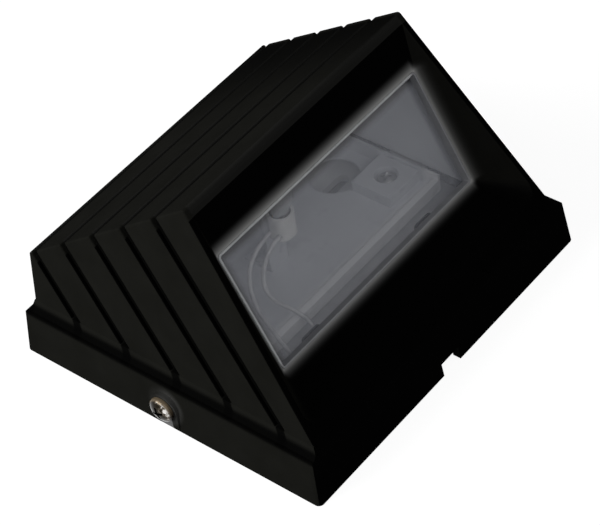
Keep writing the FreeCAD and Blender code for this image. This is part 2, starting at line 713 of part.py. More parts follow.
# Wall gasket: a foam frame under the rim of the back plate
wall_gasket = new_body("wall_gasket")
slab(wall_gasket, [centred("2 * places.plate_half_x", "2 * places.plate_half_y")],
     "0", "sizes.wall_gasket_thickness", corner="sizes.plate_corner")
slab(wall_gasket, [centred("2 * (places.plate_half_x - sizes.wall_gasket_band)",
                           "2 * (places.plate_half_y - sizes.wall_gasket_band)")],
     "0", "sizes.wall_gasket_thickness", cut=True, corner="sizes.plate_corner")
slab(wall_gasket, [cable_gap], "0", "sizes.wall_gasket_thickness", cut=True)


# Screws: a turned head and shank, with a cross recess in the head
def pan_screw(label, shank_radius, shank_length, head_radius, head_height):
    """Pan-head screw along its own Z, with the head above its seat at z = 0."""
    body = new_body(label)
    crown = f"0.6 * ({head_height})"
    revolve(body, [
        ("0", f"-({shank_length})"),
        (f"0.8 * ({shank_radius})", f"-({shank_length})"),
        (shank_radius, f"-({shank_length}) + 0.3 * ({shank_radius})"),
        (shank_radius, "0"),
        (head_radius, "0"),
        (head_radius, crown),
        (f"0.86 * ({head_radius})", f"0.87 * ({head_height})"),
        (f"0.6 * ({head_radius})", head_height),
        ("0", head_height),
    ])
    arm, half = f"0.55 * ({head_radius})", f"0.11 * ({head_radius})"
    low, high = f"0.4 * ({head_height})", f"2 * ({head_height})"
    slab(body, [rectangle(f"-({arm})", arm, f"-({half})", half)], low, high, cut=True)
    slab(body, [rectangle(f"-({half})", half, f"-({arm})", arm)], low, high, cut=True)
    return body


for label, side in (("cover_screw_left", -1), ("cover_screw_right", 1)):
    screw = pan_screw(label, "sizes.cover_screw_radius", "sizes.cover_screw_length",
                      "sizes.cover_head_radius", "sizes.cover_head_height")
    screw.Placement = Placement(Vector(0, 0, 0), Rotation(Vector(0, 1, 0), 90 * side))
    screw.setExpression(".Placement.Base.x", f"{side} * (places.head_seat_x + sizes.head_gap)")
    screw.setExpression(".Placement.Base.z", "sizes.cover_screw_height")

# Reflector: a white sheet tray that hangs by two raised pads on the posts
reflector = new_body("reflector")
tray = rectangle("-places.tray_half_width", "places.tray_half_width", "places.tray_front", "places.tray_back")
flange_top = "places.tray_floor + sizes.tray_flange"
slab(reflector, [tray], "places.tray_floor - sizes.sheet", flange_top)
slab(reflector, [rectangle("sizes.sheet - places.tray_half_width", "places.tray_half_width - sizes.sheet",
                           "places.tray_front - sizes.sheet", "places.tray_back - sizes.sheet")],
     "places.tray_floor", flange_top, cut=True)
slab(reflector, [rectangle("-places.tray_half_width", "places.tray_half_width",
                           "places.tray_front", "places.tray_front + sizes.tray_hem")],
     "places.tray_floor - sizes.sheet", "places.tray_floor + sizes.tray_lip")
pads = both_ends(rectangle("places.pad_inner_x", "places.tray_half_width",
                           "-places.pad_half_y", "places.pad_half_y"))
slab(reflector, pads, "places.tray_floor - sizes.sheet", "places.pad_top")
under_pads = both_ends(rectangle("places.pad_inner_x + sizes.sheet", "places.tray_half_width + sizes.sheet",
                                 "sizes.sheet - places.pad_half_y", "places.pad_half_y - sizes.sheet"))
slab(reflector, under_pads, "places.tray_floor - 2 * sizes.sheet", "places.post_top", cut=True)
discs(reflector, [(x, y, "sizes.dimple_radius + sizes.sheet") for x, y in tray_screws],
      "places.dimple_floor - sizes.sheet", "places.pad_top")
discs(reflector, [(x, y, "sizes.dimple_radius") for x, y in tray_screws],
      "places.dimple_floor", "places.pad_top", cut=True)
discs(reflector, [(x, y, tray_bore) for x, y in tray_screws],
      "places.dimple_floor - 2 * sizes.sheet", "places.pad_top", cut=True)
discs(reflector, [(f"{side}sizes.wall_slot_spacing / 2", "sizes.wall_slot_y", "sizes.access_radius")
                  for side in ("", "-")],
      "places.tray_floor - 2 * sizes.sheet", flange_top, cut=True)
rivets = [(f"{side}sizes.rivet_spacing / 2", "places.rivet_y") for side in ("", "-")]
discs(reflector, [(x, f"sizes.lamp_y + {y}", "sizes.rivet_radius + sizes.thread_play") for x, y in rivets],
      "places.tray_floor - 2 * sizes.sheet", flange_top, cut=True)

screw_pair = []
for side in (1, -1):
    screw = pan_screw("reflector_screw", "sizes.tray_screw_radius", "sizes.tray_screw_length",
                      "sizes.tray_head_radius", "sizes.tray_head_height")
    screw.setExpression(".Placement.Base.x", f"{side} * places.tray_screw_x")
    screw.setExpression(".Placement.Base.z", "places.dimple_floor")
    screw_pair.append(screw)
reflector_screws = combine("Part::Compound", "reflector_screws", *screw_pair)

# Lamp bracket: a steel angle riveted to the tray behind the lampholder, with its foot turned back
lamp_bracket = new_body("lamp_bracket")
bracket_sides = ("-sizes.bracket_half_width", "sizes.bracket_half_width")
foot_top = "places.tray_floor + sizes.bracket_sheet"
slab(lamp_bracket, [rectangle(*bracket_sides, "places.holder_half_y", "places.bracket_rear")],
     "places.tray_floor", foot_top)
slab(lamp_bracket, [rectangle(*bracket_sides, "places.holder_half_y", "places.bracket_back")],
     foot_top, "places.bracket_top")
discs(lamp_bracket, [(x, y, "sizes.rivet_radius + sizes.thread_play") for x, y in rivets],
      "places.tray_floor", foot_top, cut=True)
discs(lamp_bracket, [("0", "places.lead_height", clip_bore)],
      "-places.bracket_back", "-places.holder_half_y", cut=True, role="XZ_Plane")

bracket_rivets = new_body("bracket_rivets")
tray_under = "places.tray_floor - sizes.sheet"
discs(bracket_rivets, [(x, y, "sizes.rivet_radius") for x, y in rivets], tray_under, foot_top)
discs(bracket_rivets, [(x, y, "sizes.rivet_head_radius") for x, y in rivets],
      f"{tray_under} - sizes.rivet_head_height", tray_under)
discs(bracket_rivets, [(x, y, "sizes.rivet_head_radius") for x, y in rivets],
      foot_top, f"{foot_top} + sizes.rivet_head_height")

# Lampholder: a ceramic block with a slot for the lamp's wedge and two holes for the leads
lampholder = new_body("lampholder")
slab(lampholder, [rectangle(*bracket_sides, "-places.holder_half_y", "places.holder_half_y")],
     "sizes.holder_low", "places.holder_top", corner="sizes.holder_corner")
slab(lampholder, [centred("sizes.holder_slot_width", "sizes.holder_slot_gap")],
     "places.slot_floor", "places.holder_top", cut=True)
discs(lampholder, [("0", "places.lead_height", clip_bore)], "-places.holder_half_y",
      "sizes.small_screw_length - places.bracket_back + sizes.lens_play", cut=True, role="XZ_Plane")
lead_holes = [(f"{side}sizes.lead_spacing / 2", "places.lead_height") for side in ("", "-")]
discs(lampholder, [(y, z, "sizes.lead_radius + sizes.thread_play") for y, z in lead_holes],
      "-sizes.bracket_half_width", "sizes.lead_entry - sizes.bracket_half_width", cut=True, role="YZ_Plane")

lampholder_screw = pan_screw("lampholder_screw", "sizes.small_screw_radius", "sizes.small_screw_length",
                             "sizes.small_head_radius", "sizes.small_head_height")
lampholder_screw.Placement = Placement(Vector(0, 0, 0), Rotation(X_AXIS, -90))
lampholder_screw.setExpression(".Placement.Base.y", "sizes.lamp_y + places.bracket_back")
lampholder_screw.setExpression(".Placement.Base.z", "places.lead_height")

# Spring strips on both walls of the slot
lampholder_contacts = new_body("lampholder_contacts")
strip_inner = "sizes.holder_slot_gap / 2 - sizes.contact_sheet"
strip_sides = ("-sizes.contact_width / 2", "sizes.contact_width / 2")
strips = [rectangle(*strip_sides, strip_inner, "sizes.holder_slot_gap / 2"),
          rectangle(*strip_sides, "-sizes.holder_slot_gap / 2", f"-({strip_inner})")]
slab(lampholder_contacts, strips, "places.slot_floor", "places.holder_top - sizes.sheet")


# Lamp: a blown glass bulb on a flat wedge, with its wires folded up the wedge
DOME_TURNS = [0, 22.5, 45, 67.5]


def bulb_section(inset):
    """Half section of the bulb, inside its surface by an inset."""
    low = f"places.wedge_top + ({inset})"
    radius = f"(sizes.lamp_radius - ({inset}))"
    shoulder = "places.wedge_top + sizes.lamp_shoulder"
    crown = f"(places.lamp_top - ({inset}))"
    section = [("0", low), (f"sizes.lamp_neck_radius - ({inset})", low), (radius, shoulder)]
    for turn in DOME_TURNS:
        section.append((f"{radius} * cos({turn}deg)", f"{crown} - {radius} * (1 - sin({turn}deg))"))
    section.append(("0", crown))
    return section


bulb = new_body("bulb")
revolve(bulb, bulb_section("0"))
slab(bulb, [centred("2 * places.wedge_half_x", "2 * places.wedge_half_y")],
     "places.wedge_low", "places.wedge_top")
bulb_void = new_body("bulb_void")
revolve(bulb_void, bulb_section("sizes.lamp_glass"))
lamp_glass = combine("Part::Cut", "lamp_glass", bulb, bulb_void)

lamp_filament = new_body("lamp_filament")
filament_posts = [("sizes.filament_spacing / 2", "0"), ("-sizes.filament_spacing / 2", "0")]
filament_top = "places.lamp_floor + sizes.filament_height"
discs(lamp_filament, [(x, y, "sizes.filament_wire") for x, y in filament_posts],
      "places.lamp_floor", filament_top)
coil_end = "sizes.filament_spacing / 2 + sizes.filament_radius"
discs(lamp_filament, [("0", filament_top, "sizes.filament_radius")],
      f"-({coil_end})", coil_end, role="YZ_Plane")

lamp_contacts = new_body("lamp_contacts")
strip_x = "places.wedge_half_x / 3"
strip_half = "sizes.lamp_strip_width / 2"
slab(lamp_contacts, [
    rectangle(f"{strip_x} - {strip_half}", f"{strip_x} + {strip_half}",
              "places.wedge_half_y", "places.strip_half_y"),
    rectangle(f"-{strip_x} - {strip_half}", f"{strip_half} - {strip_x}",
              "-places.strip_half_y", "-places.wedge_half_y"),
], "places.wedge_low + sizes.sheet", "places.wedge_top - 2 * sizes.sheet")

for item in (lamp_bracket, bracket_rivets, lampholder, lampholder_contacts, bulb, bulb_void, lamp_filament,
             lamp_contacts):
    item.setExpression(".Placement.Base.y", "sizes.lamp_y")

# Terminal block: two poles with a screw at each end, held down by a screw between them
terminal_block = new_body("terminal_block")
block_sides = ("sizes.block_x - sizes.block_width / 2", "sizes.block_x + sizes.block_width / 2")
block_ends = ("places.block_y - sizes.block_depth / 2", "places.block_y + sizes.block_depth / 2")
slab(terminal_block, [rectangle(*block_sides, *block_ends)], "places.plate_top", "places.block_top")
pole_xs = [f"sizes.block_x {sign} sizes.pole_spacing / 2" for sign in "-+"]
block_front = "-places.block_y - sizes.block_depth / 2"
block_back = "-places.block_y + sizes.block_depth / 2"
discs(terminal_block, [(x, "places.pole_z", "sizes.insert_radius + sizes.thread_play") for x in pole_xs],
      block_front, block_back, cut=True, role="XZ_Plane")
terminal_spots = [(x, f"places.block_y {sign} sizes.terminal_screw_offset")
                  for x in pole_xs for sign in "-+"]
discs(terminal_block, [(x, y, "sizes.terminal_well_radius") for x, y in terminal_spots],
      "places.pole_z", "places.block_top", cut=True)
block_centre = ("sizes.block_x", "places.block_y")
discs(terminal_block, [(*block_centre, clip_bore)], "places.plate_top", "places.block_top", cut=True)
discs(terminal_block, [(*block_centre, "sizes.small_head_radius + sizes.lens_play")],
      "places.plate_top + sizes.block_seat", "places.block_top", cut=True)

terminal_inserts = new_body("terminal_inserts")
insert_front, insert_back = f"{block_front} + sizes.insert_recess", f"{block_back} - sizes.insert_recess"
discs(terminal_inserts, [(x, "places.pole_z", "sizes.insert_radius") for x in pole_xs],
      insert_front, insert_back, role="XZ_Plane")
discs(terminal_inserts, [(x, "places.pole_z", "sizes.insert_bore") for x in pole_xs],
      insert_front, insert_back, cut=True, role="XZ_Plane")
thread = "sizes.terminal_screw_radius + sizes.thread_play"
discs(terminal_inserts, [(x, y, thread) for x, y in terminal_spots],
      "places.pole_z", "places.block_top", cut=True)

terminal_screws = new_body("terminal_screws")
discs(terminal_screws, [(x, y, "sizes.terminal_screw_radius") for x, y in terminal_spots],
      "places.terminal_low", "places.terminal_seat")
discs(terminal_screws, [(x, y, "sizes.terminal_head_radius") for x, y in terminal_spots],
      "places.terminal_seat", "places.terminal_seat + sizes.terminal_head_height")

terminal_mount_screw = pan_screw("terminal_mount_screw", "sizes.small_screw_radius",
                                 "sizes.small_screw_length", "sizes.small_head_radius",
                                 "sizes.small_head_height")
terminal_mount_screw.setExpression(".Placement.Base.x", "sizes.block_x")
terminal_mount_screw.setExpression(".Placement.Base.y", "places.block_y")
terminal_mount_screw.setExpression(".Placement.Base.z", "places.plate_top + sizes.block_seat")

# Cable grommet: a rubber bush snapped into the rear cable hole
cable_grommet = new_body("cable_grommet")
hub = "sizes.entry_radius - sizes.thread_play"
brim = "sizes.entry_radius + sizes.grommet_flange"
revolve(cable_grommet, [
    ("sizes.grommet_bore", "-sizes.grommet_lip"), (brim, "-sizes.grommet_lip"), (brim, "0"), (hub, "0"),
    (hub, "sizes.plate_thickness"), (brim, "sizes.plate_thickness"),
    (brim, "sizes.plate_thickness + sizes.grommet_lip"),
    ("sizes.grommet_bore", "sizes.plate_thickness + sizes.grommet_lip"),
])
cable_grommet.setExpression(".Placement.Base.x", "sizes.entry_x")
cable_grommet.setExpression(".Placement.Base.y", "places.entry_y")
cable_grommet.setExpression(".Placement.Base.z", "sizes.wall_gasket_thickness")
document.recompute()

# Leads from the lampholder over the tray's lip into the terminal block: straight runs and tangent arcs
ARC_SHARE = 0.45


def lead_shape(points, radius):
    """Round wire through points, with an arc at each as large as its two runs allow."""
    edges = []
    start = points[0]
    for before, corner, after in zip(points, points[1:], points[2:]):
        back, ahead = before - corner, after - corner
        reach = ARC_SHARE * min(back.Length, ahead.Length)
        half_turn = (math.pi - back.getAngle(ahead)) / 2
        enter, leave = corner + back.normalize() * reach, corner + ahead.normalize() * reach
        arc_radius = reach / math.tan(half_turn)
        inward = (back + ahead).normalize()
        middle = corner + inward * (arc_radius / math.cos(half_turn) - arc_radius)
        edges.append(Part.LineSegment(start, enter).toShape())
        edges.append(Part.Arc(enter, middle, leave).toShape())
        start = leave
    edges.append(Part.LineSegment(start, points[-1]).toShape())
    path = Part.Wire(edges)
    section = Part.Wire(Part.makeCircle(radius, points[0], points[1] - points[0]))
    return path.makePipeShell([section], True, False)


def lead(label, hole_side, pole_side, reach, advance):
    """Lead from one hole of the lampholder, over the tray's lip, to one pole of the terminal block."""
    pole_x = sizes.block_x + pole_side * sizes.pole_spacing / 2
    hole_y = sizes.lamp_y + hole_side * sizes.lead_spacing / 2
    turn_x = -sizes.bracket_half_width - reach
    over_lip = places.tray_floor + sizes.tray_lip + sizes.lead_rise
    block_face = places.block_y + sizes.block_depth / 2
    end_y = places.block_y + sizes.terminal_screw_offset - sizes.terminal_screw_radius
    points = [
        Vector(sizes.lead_entry - sizes.bracket_half_width, hole_y, places.lead_height),
        Vector(turn_x, hole_y, places.lead_height),
        Vector(turn_x - sizes.lead_lean, hole_y - advance, over_lip),
        Vector(pole_x, places.tray_front - sizes.lead_overhang, over_lip),
        Vector(pole_x, block_face + sizes.lead_straight, places.pole_z),
        Vector(pole_x, end_y, places.pole_z),
    ]
    feature = document.addObject("Part::Feature", label)
    feature.Shape = lead_shape(points, sizes.lead_radius)
    return feature


lead_front = lead("lead_front", -1, 1, sizes.lead_front_reach, sizes.lead_front_advance)
lead_back = lead("lead_back", 1, -1, sizes.lead_back_reach, sizes.lead_back_advance)

PARTS = [
    housing, lens_gasket, lens, lens_clips, lens_clip_screws, back_plate, wall_gasket, reflector,
    reflector_screws, lamp_bracket, bracket_rivets, lampholder, lampholder_screw, lampholder_contacts,
    lamp_glass, lamp_filament, lamp_contacts, terminal_block, terminal_inserts, terminal_screws,
    terminal_mount_screw, cable_grommet, lead_front, lead_back,
]
PARTS += [document.getObjectsByLabel(label)[0] for label in ("cover_screw_left", "cover_screw_right")]

document.recompute()
for item in document.Objects:
    if {"Invalid", "Error"} & set(item.State):
        raise RuntimeError(f"{item.Label} failed: {item.State}")
for part in PARTS:
    if part.Shape.isNull() or not part.Shape.isValid():
        raise RuntimeError(f"{part.Label} has no valid shape")

os.makedirs("parts", exist_ok=True)
for part in PARTS:
    part.Shape.exportStep(f"parts/{part.Label}.step")
    box = part.Shape.BoundBox
    low, high = (box.XMin, box.YMin, box.ZMin), (box.XMax, box.YMax, box.ZMax)
    spans = ", ".join(f"{start:.1f} to {stop:.1f}" for start, stop in zip(low, high))
    print(f"{part.Label}: {len(part.Shape.Solids)} solids, {part.Shape.Volume:.0f} mm3, {spans}")
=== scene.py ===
# Step light, lying on its back with the window turned to the viewer's right.
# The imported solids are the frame: every piece below sits where they are, in metres.
import math
import bmesh
import bpy
from mathutils import Matrix, Vector


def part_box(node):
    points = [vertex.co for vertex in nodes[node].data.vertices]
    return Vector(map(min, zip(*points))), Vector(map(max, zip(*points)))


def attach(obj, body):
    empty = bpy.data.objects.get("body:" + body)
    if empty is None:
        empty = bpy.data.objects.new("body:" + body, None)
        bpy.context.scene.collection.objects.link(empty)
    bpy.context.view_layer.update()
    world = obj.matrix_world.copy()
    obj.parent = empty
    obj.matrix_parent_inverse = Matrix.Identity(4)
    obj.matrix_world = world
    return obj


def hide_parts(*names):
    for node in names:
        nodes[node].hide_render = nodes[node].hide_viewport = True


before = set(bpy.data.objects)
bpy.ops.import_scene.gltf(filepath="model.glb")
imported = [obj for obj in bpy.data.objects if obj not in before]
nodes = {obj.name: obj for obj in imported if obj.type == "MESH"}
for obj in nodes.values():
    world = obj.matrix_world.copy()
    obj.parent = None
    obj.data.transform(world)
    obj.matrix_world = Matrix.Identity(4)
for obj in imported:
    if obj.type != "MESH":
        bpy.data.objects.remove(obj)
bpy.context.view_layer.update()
scene = bpy.context.scene
scene.view_settings.view_transform = "Standard"

# Camera: a long lens from the front left and well above, held a little askew.
# Its place comes from fitting the edges of the cover to the picture.
azimuth, elevation, roll = math.radians(-44.03), math.radians(44.36), math.radians(10.22)
camera_centre = Vector((-0.38985, -0.40544, 0.56441))
backward = Vector((math.sin(azimuth) * math.cos(elevation), -math.cos(azimuth) * math.cos(elevation),
                   math.sin(elevation)))
level = Vector((math.cos(azimuth), math.sin(azimuth), 0))
rise = backward.cross(level)
camera_right = math.cos(roll) * level - math.sin(roll) * rise
camera_up = math.cos(roll) * rise + math.sin(roll) * level
camera = bpy.data.objects.new("camera", bpy.data.cameras.new("camera"))
scene.collection.objects.link(camera)
camera.data.sensor_width = 36
camera.data.lens = 140.4
camera_place = Matrix((camera_right, camera_up, backward)).transposed().to_4x4()
camera_place.translation = camera_centre
camera.matrix_world = camera_place
scene.camera = camera


# Studio: a large soft light from behind the left end, a weaker one high in front,
# and a white sweep that the camera and shiny pieces see as plain white.
def soft_light(name, direction, distance, side, watts):
    """Square light at a distance in one direction, turned to the middle of the object."""
    aim = Vector((0, 0, 0.04))
    lamp = bpy.data.objects.new(name, bpy.data.lights.new(name, "AREA"))
    scene.collection.objects.link(lamp)
    lamp.data.size = side
    lamp.data.energy = watts
    towards = Vector(direction).normalized()
    lamp.location = towards * distance + aim
    lamp.rotation_euler = towards.to_track_quat("Z", "Y").to_euler()


def node_in(owner, kind, **settings):
    """New node of a material or world, with its inputs or its attributes set by name."""
    node = owner.node_tree.nodes.new(kind)
    for name, value in settings.items():
        if name.title() in node.inputs:
            node.inputs[name.title()].default_value = value
        else:
            setattr(node, name, value)
    return node


def join(owner, source, target):
    """Link one socket to another."""
    owner.node_tree.links.new(source, target)


def math_on(owner, operation, *values, clamp=False):
    """Math node on sockets or numbers."""
    node = node_in(owner, "ShaderNodeMath", operation=operation, use_clamp=clamp)
    for socket, value in zip(node.inputs, values):
        if isinstance(value, (int, float)):
            socket.default_value = value
        else:
            join(owner, value, socket)
    return node.outputs[0]


def times(owner, first, *others):
    """Product of sockets or numbers."""
    for value in others:
        first = math_on(owner, "MULTIPLY", first, value)
    return first


def size_of(owner, value):
    """Size of a value, without its sign."""
    return math_on(owner, "ABSOLUTE", value)


def over(owner, value, limit):
    """1 where a value is over a limit, else 0."""
    return math_on(owner, "GREATER_THAN", value, limit)


def object_point(owner, stretch=(1, 1, 1), turn=(0, 0, 0), centre=(0, 0, 0)):
    """Object coordinates seen from a turned and stretched frame about a centre."""
    coordinates = node_in(owner, "ShaderNodeTexCoord")
    mapping = node_in(owner, "ShaderNodeMapping", vector_type="TEXTURE", location=centre, rotation=turn,
                      scale=stretch)
    join(owner, coordinates.outputs["Object"], mapping.inputs["Vector"])
    return mapping.outputs["Vector"]


def parts_of(owner, vector):
    """X, Y and Z of a vector socket."""
    apart = node_in(owner, "ShaderNodeSeparateXYZ")
    join(owner, vector, apart.inputs[0])
    return apart.outputs


def where_seen(owner, scattered, seen):
    """One shader for scattered light, another for rays from the camera, a mirror or a pane."""
    path = node_in(owner, "ShaderNodeLightPath")
    direct = math_on(owner, "MAXIMUM", path.outputs["Is Camera Ray"], path.outputs["Is Glossy Ray"])
    direct = math_on(owner, "MAXIMUM", direct, path.outputs["Is Transmission Ray"])
    choice = node_in(owner, "ShaderNodeMixShader")
    join(owner, direct, choice.inputs["Fac"])
    join(owner, scattered.outputs[0], choice.inputs[1])
    join(owner, seen.outputs[0], choice.inputs[2])
    output = next(node for node in owner.node_tree.nodes if node.type.startswith("OUTPUT"))
    join(owner, choice.outputs[0], output.inputs["Surface"])


soft_light("key_light", direction=(-0.75, 0.45, 0.48), distance=1.3, side=0.9, watts=18)
soft_light("front_light", direction=(-0.35, -0.65, 0.68), distance=1.5, side=1.5, watts=8.6)

scene.world = bpy.data.worlds.new("sweep_light")
scene.world.use_nodes = True
ambient = node_in(scene.world, "ShaderNodeBackground", color=(0.97, 0.98, 1, 1), strength=0.14)
white = node_in(scene.world, "ShaderNodeBackground", color=(1, 1, 1, 1), strength=1.0)
where_seen(scene.world, ambient, white)

# The paper of the sweep looks white all round the object, but not where the object lies on it.
sweep_half, sweep_drop, paper_glow = 3, 0.0003, 0.9
covered_half_x, covered_half_y = 0.0698, 0.0595
sweep_shape = bmesh.new()
bmesh.ops.create_grid(sweep_shape, x_segments=1, y_segments=1, size=sweep_half)
bmesh.ops.translate(sweep_shape, verts=sweep_shape.verts, vec=(0, 0, -sweep_drop))
sweep_mesh = bpy.data.meshes.new("sweep")
sweep_shape.to_mesh(sweep_mesh)
sweep_shape.free()
sweep = bpy.data.objects.new("sweep", sweep_mesh)
scene.collection.objects.link(sweep)
paper = bpy.data.materials.new("sweep_paper")
paper.use_nodes = True
bounce = node_in(paper, "ShaderNodeBsdfDiffuse", color=(0.22, 0.22, 0.22, 1))
glow = node_in(paper, "ShaderNodeEmission")
sweep_x, sweep_y, _ = parts_of(paper, object_point(paper))
bare = math_on(paper, "MAXIMUM", over(paper, size_of(paper, sweep_x), covered_half_x),
               over(paper, size_of(paper, sweep_y), covered_half_y))
join(paper, times(paper, bare, paper_glow), glow.inputs["Strength"])
lit = node_in(paper, "ShaderNodeAddShader")
join(paper, bounce.outputs[0], lit.inputs[0])
join(paper, glow.outputs[0], lit.inputs[1])
where_seen(paper, bounce, lit)
sweep_mesh.materials.append(paper)


# Wall gasket: a frame of closed-cell foam under the rim of the back plate,
# die-cut from sheet, with fine open cells on its cut edges.
def shader_of(material):
    """The one shader of a finish."""
    return material.node_tree.nodes["Principled BSDF"]


def finish(name, colour, roughness, metallic=0.0, specular=0.5):
    """Node material with the constant parts of one finish set on its shader."""
    material = bpy.data.materials.new(name)
    material.use_nodes = True
    shader = shader_of(material)
    shader.inputs["Base Color"].default_value = (*colour, 1)
    shader.inputs["Roughness"].default_value = roughness
    shader.inputs["Metallic"].default_value = metallic
    shader.inputs["Specular IOR Level"].default_value = specular
    return material


def noise_on(material, scale, detail=3, stretch=(1, 1, 1)):
    """Cloudy noise from 0 to 1, by the place on the object."""
    noise = node_in(material, "ShaderNodeTexNoise", scale=scale, detail=detail, roughness=0.6)
    join(material, object_point(material, stretch), noise.inputs["Vector"])
    return noise.outputs["Fac"]


def ramp(material, value, *stops):
    """Colour ramp through (place, shade) stops; a shade is a grey or three numbers."""
    node = node_in(material, "ShaderNodeValToRGB")
    join(material, value, node.inputs["Fac"])
    band = node.color_ramp
    band.elements[1].position = stops[-1][0]
    for place, _ in stops[1:-1]:
        band.elements.new(place)
    band.elements[0].position = stops[0][0]
    for element, (_, shade) in zip(band.elements, stops):
        element.color = (*shade, 1) if isinstance(shade, tuple) else (shade, shade, shade, 1)
    return node.outputs["Color"]


def drift(material, scale, dark, light, detail=4, stretch=(1, 1, 1)):
    """Colour that drifts between two shades."""
    return ramp(material, noise_on(material, scale, detail, stretch), (0.32, dark), (0.68, light))


def colour_by(material, colour):
    """Take the base colour from a socket."""
    join(material, colour, shader_of(material).inputs["Base Color"])


def mottle(material, scale, dark, light, detail=4, stretch=(1, 1, 1)):
    """Base colour that drifts between two shades."""
    colour_by(material, drift(material, scale, dark, light, detail, stretch))


def scuff(material, scale, low, high, stretch=(1, 1, 1)):
    """Roughness that drifts between two values."""
    value = ramp(material, noise_on(material, scale, stretch=stretch), (0.3, low), (0.7, high))
    join(material, value, shader_of(material).inputs["Roughness"])


def grain(material, scale, height, detail=2, cells=False, edge=0.0):
    """Fine relief of a height in metres, over edges eased by a radius where one is given."""
    if cells:
        texture = node_in(material, "ShaderNodeTexVoronoi", scale=scale)
        join(material, object_point(material), texture.inputs["Vector"])
        value = texture.outputs["Distance"]
    else:
        value = noise_on(material, scale, detail)
    bump = node_in(material, "ShaderNodeBump", strength=1.0, distance=height)
    join(material, value, bump.inputs["Height"])
    if edge:
        eased = node_in(material, "ShaderNodeBevel", samples=4, radius=edge)
        join(material, eased.outputs["Normal"], bump.inputs["Normal"])
    join(material, bump.outputs["Normal"], shader_of(material).inputs["Normal"])


def dress(material, *names):
    """Give CAD nodes a finish."""
    for name in names:
        nodes[name].data.materials.clear()
        nodes[name].data.materials.append(material)


foam = finish("foam", colour=(0.03, 0.03, 0.032), roughness=0.92, specular=0.2)
mottle(foam, scale=400, dark=(0.022, 0.022, 0.024), light=(0.045, 0.045, 0.047))
grain(foam, scale=1800, height=0.0002, cells=True)
dress(foam, "wall_gasket")

# Back plate: die-cast aluminium with two posts, wall slots and a cable hole,
# left as cast, with flow marks from the die and a dull bloom of oxide.
raw_casting = finish("raw_casting", colour=(0.66, 0.66, 0.67), roughness=0.45, metallic=0.25)
mottle(raw_casting, scale=70, dark=(0.54, 0.54, 0.55), light=(0.74, 0.74, 0.75), detail=8, stretch=(1, 2.2, 1))
scuff(raw_casting, scale=260, low=0.38, high=0.62)
grain(raw_casting, scale=2200, height=0.00006, detail=4, edge=0.0005)
dress(raw_casting, "back_plate")


# Cable grommet: a black rubber bush, moulded with rounded lips and snapped
# into the cable hole, so that its lips hold both faces of the plate.
def spun(shape, profile, steps=40):
    """Turn a profile of (radius, height) points once round the Z axis."""
    points = [shape.verts.new((radius, 0, height)) for radius, height in profile]
    lines = [shape.edges.new(pair) for pair in zip(points, points[1:])]
    bmesh.ops.spin(shape, geom=points + lines, cent=(0, 0, 0), axis=(0, 0, 1), angle=2 * math.pi, steps=steps,
                   use_merge=True)
    bmesh.ops.remove_doubles(shape, verts=shape.verts, dist=1e-6)


def bow(centre, radius, start, stop, steps=5):
    """Points of an arc about (radius, height), for a profile, between two angles in degrees."""
    turns = [math.radians(start + (stop - start) * step / steps) for step in range(steps + 1)]
    return [(centre[0] + radius * math.cos(turn), centre[1] + radius * math.sin(turn)) for turn in turns]


def smooth(mesh):
    """Shade a mesh smooth but for its sharp edges."""
    mesh.shade_smooth()
    mesh.set_sharp_from_angle(angle=math.radians(38))
    return mesh


def as_mesh(name, shape):
    """Finished mesh of a bmesh."""
    bmesh.ops.recalc_face_normals(shape, faces=shape.faces)
    mesh = bpy.data.meshes.new(name)
    shape.to_mesh(mesh)
    shape.free()
    return smooth(mesh)


def fit(name, data, material, body, slot, *stands_for):
    """Place a finished piece on its body, for the CAD nodes that it stands for."""
    data.materials.clear()
    data.materials.append(material)
    piece = bpy.data.objects.new(name, data)
    scene.collection.objects.link(piece)
    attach(piece, body)
    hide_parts(*stands_for)


rubber = finish("black_rubber", colour=(0.012, 0.012, 0.012), roughness=0.6, specular=0.35)
mottle(rubber, scale=300, dark=(0.009, 0.009, 0.009), light=(0.018, 0.018, 0.018))
grain(rubber, scale=3000, height=0.00003)
low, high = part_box("cable_grommet")
middle = (low + high) / 2
lip, bore, hub, brim = 0.0015, 0.0035, 0.00795, high.x - middle.x
rounding, length = 0.0006, high.z - low.z
bush_profile = bow((bore + rounding, rounding), rounding, 180, 270)
bush_profile += bow((brim - rounding, rounding), rounding, 270, 360)
bush_profile += bow((brim - rounding, lip - rounding / 2), rounding / 2, 0, 90)
bush_profile += [(hub, lip), (hub, length - lip)]
bush_profile += bow((brim - rounding, length - lip + rounding / 2), rounding / 2, 270, 360)
bush_profile += bow((brim - rounding, length - rounding), rounding, 0, 90)
bush_profile += bow((bore + rounding, length - rounding), rounding, 90, 180)
bush_profile.append(bush_profile[0])
bush = bmesh.new()
spun(bush, bush_profile)
bmesh.ops.translate(bush, verts=bush.verts, vec=(middle.x, middle.y, low.z))
fit("grommet_bush", as_mesh("grommet_bush", bush), rubber, "base", "black_rubber", "cable_grommet")

# Terminal block: natural nylon, moulded in one piece, screwed to the plate between its two poles.
# The brass inserts are turned and slid in, and their clamping screws come down from the top.
nylon = finish("natural_nylon", colour=(0.74, 0.72, 0.66), roughness=0.42)
mottle(nylon, scale=120, dark=(0.66, 0.64, 0.57), light=(0.78, 0.76, 0.71))
grain(nylon, scale=2600, height=0.00002, edge=0.0004)
dress(nylon, "terminal_block")
brass = finish("turned_brass", colour=(0.62, 0.42, 0.15), roughness=0.28, metallic=1.0)
mottle(brass, scale=500, dark=(0.48, 0.31, 0.1), light=(0.7, 0.5, 0.2), stretch=(1, 0.2, 1))
scuff(brass, scale=900, low=0.2, high=0.4, stretch=(1, 0.15, 1))
dress(brass, "terminal_inserts")


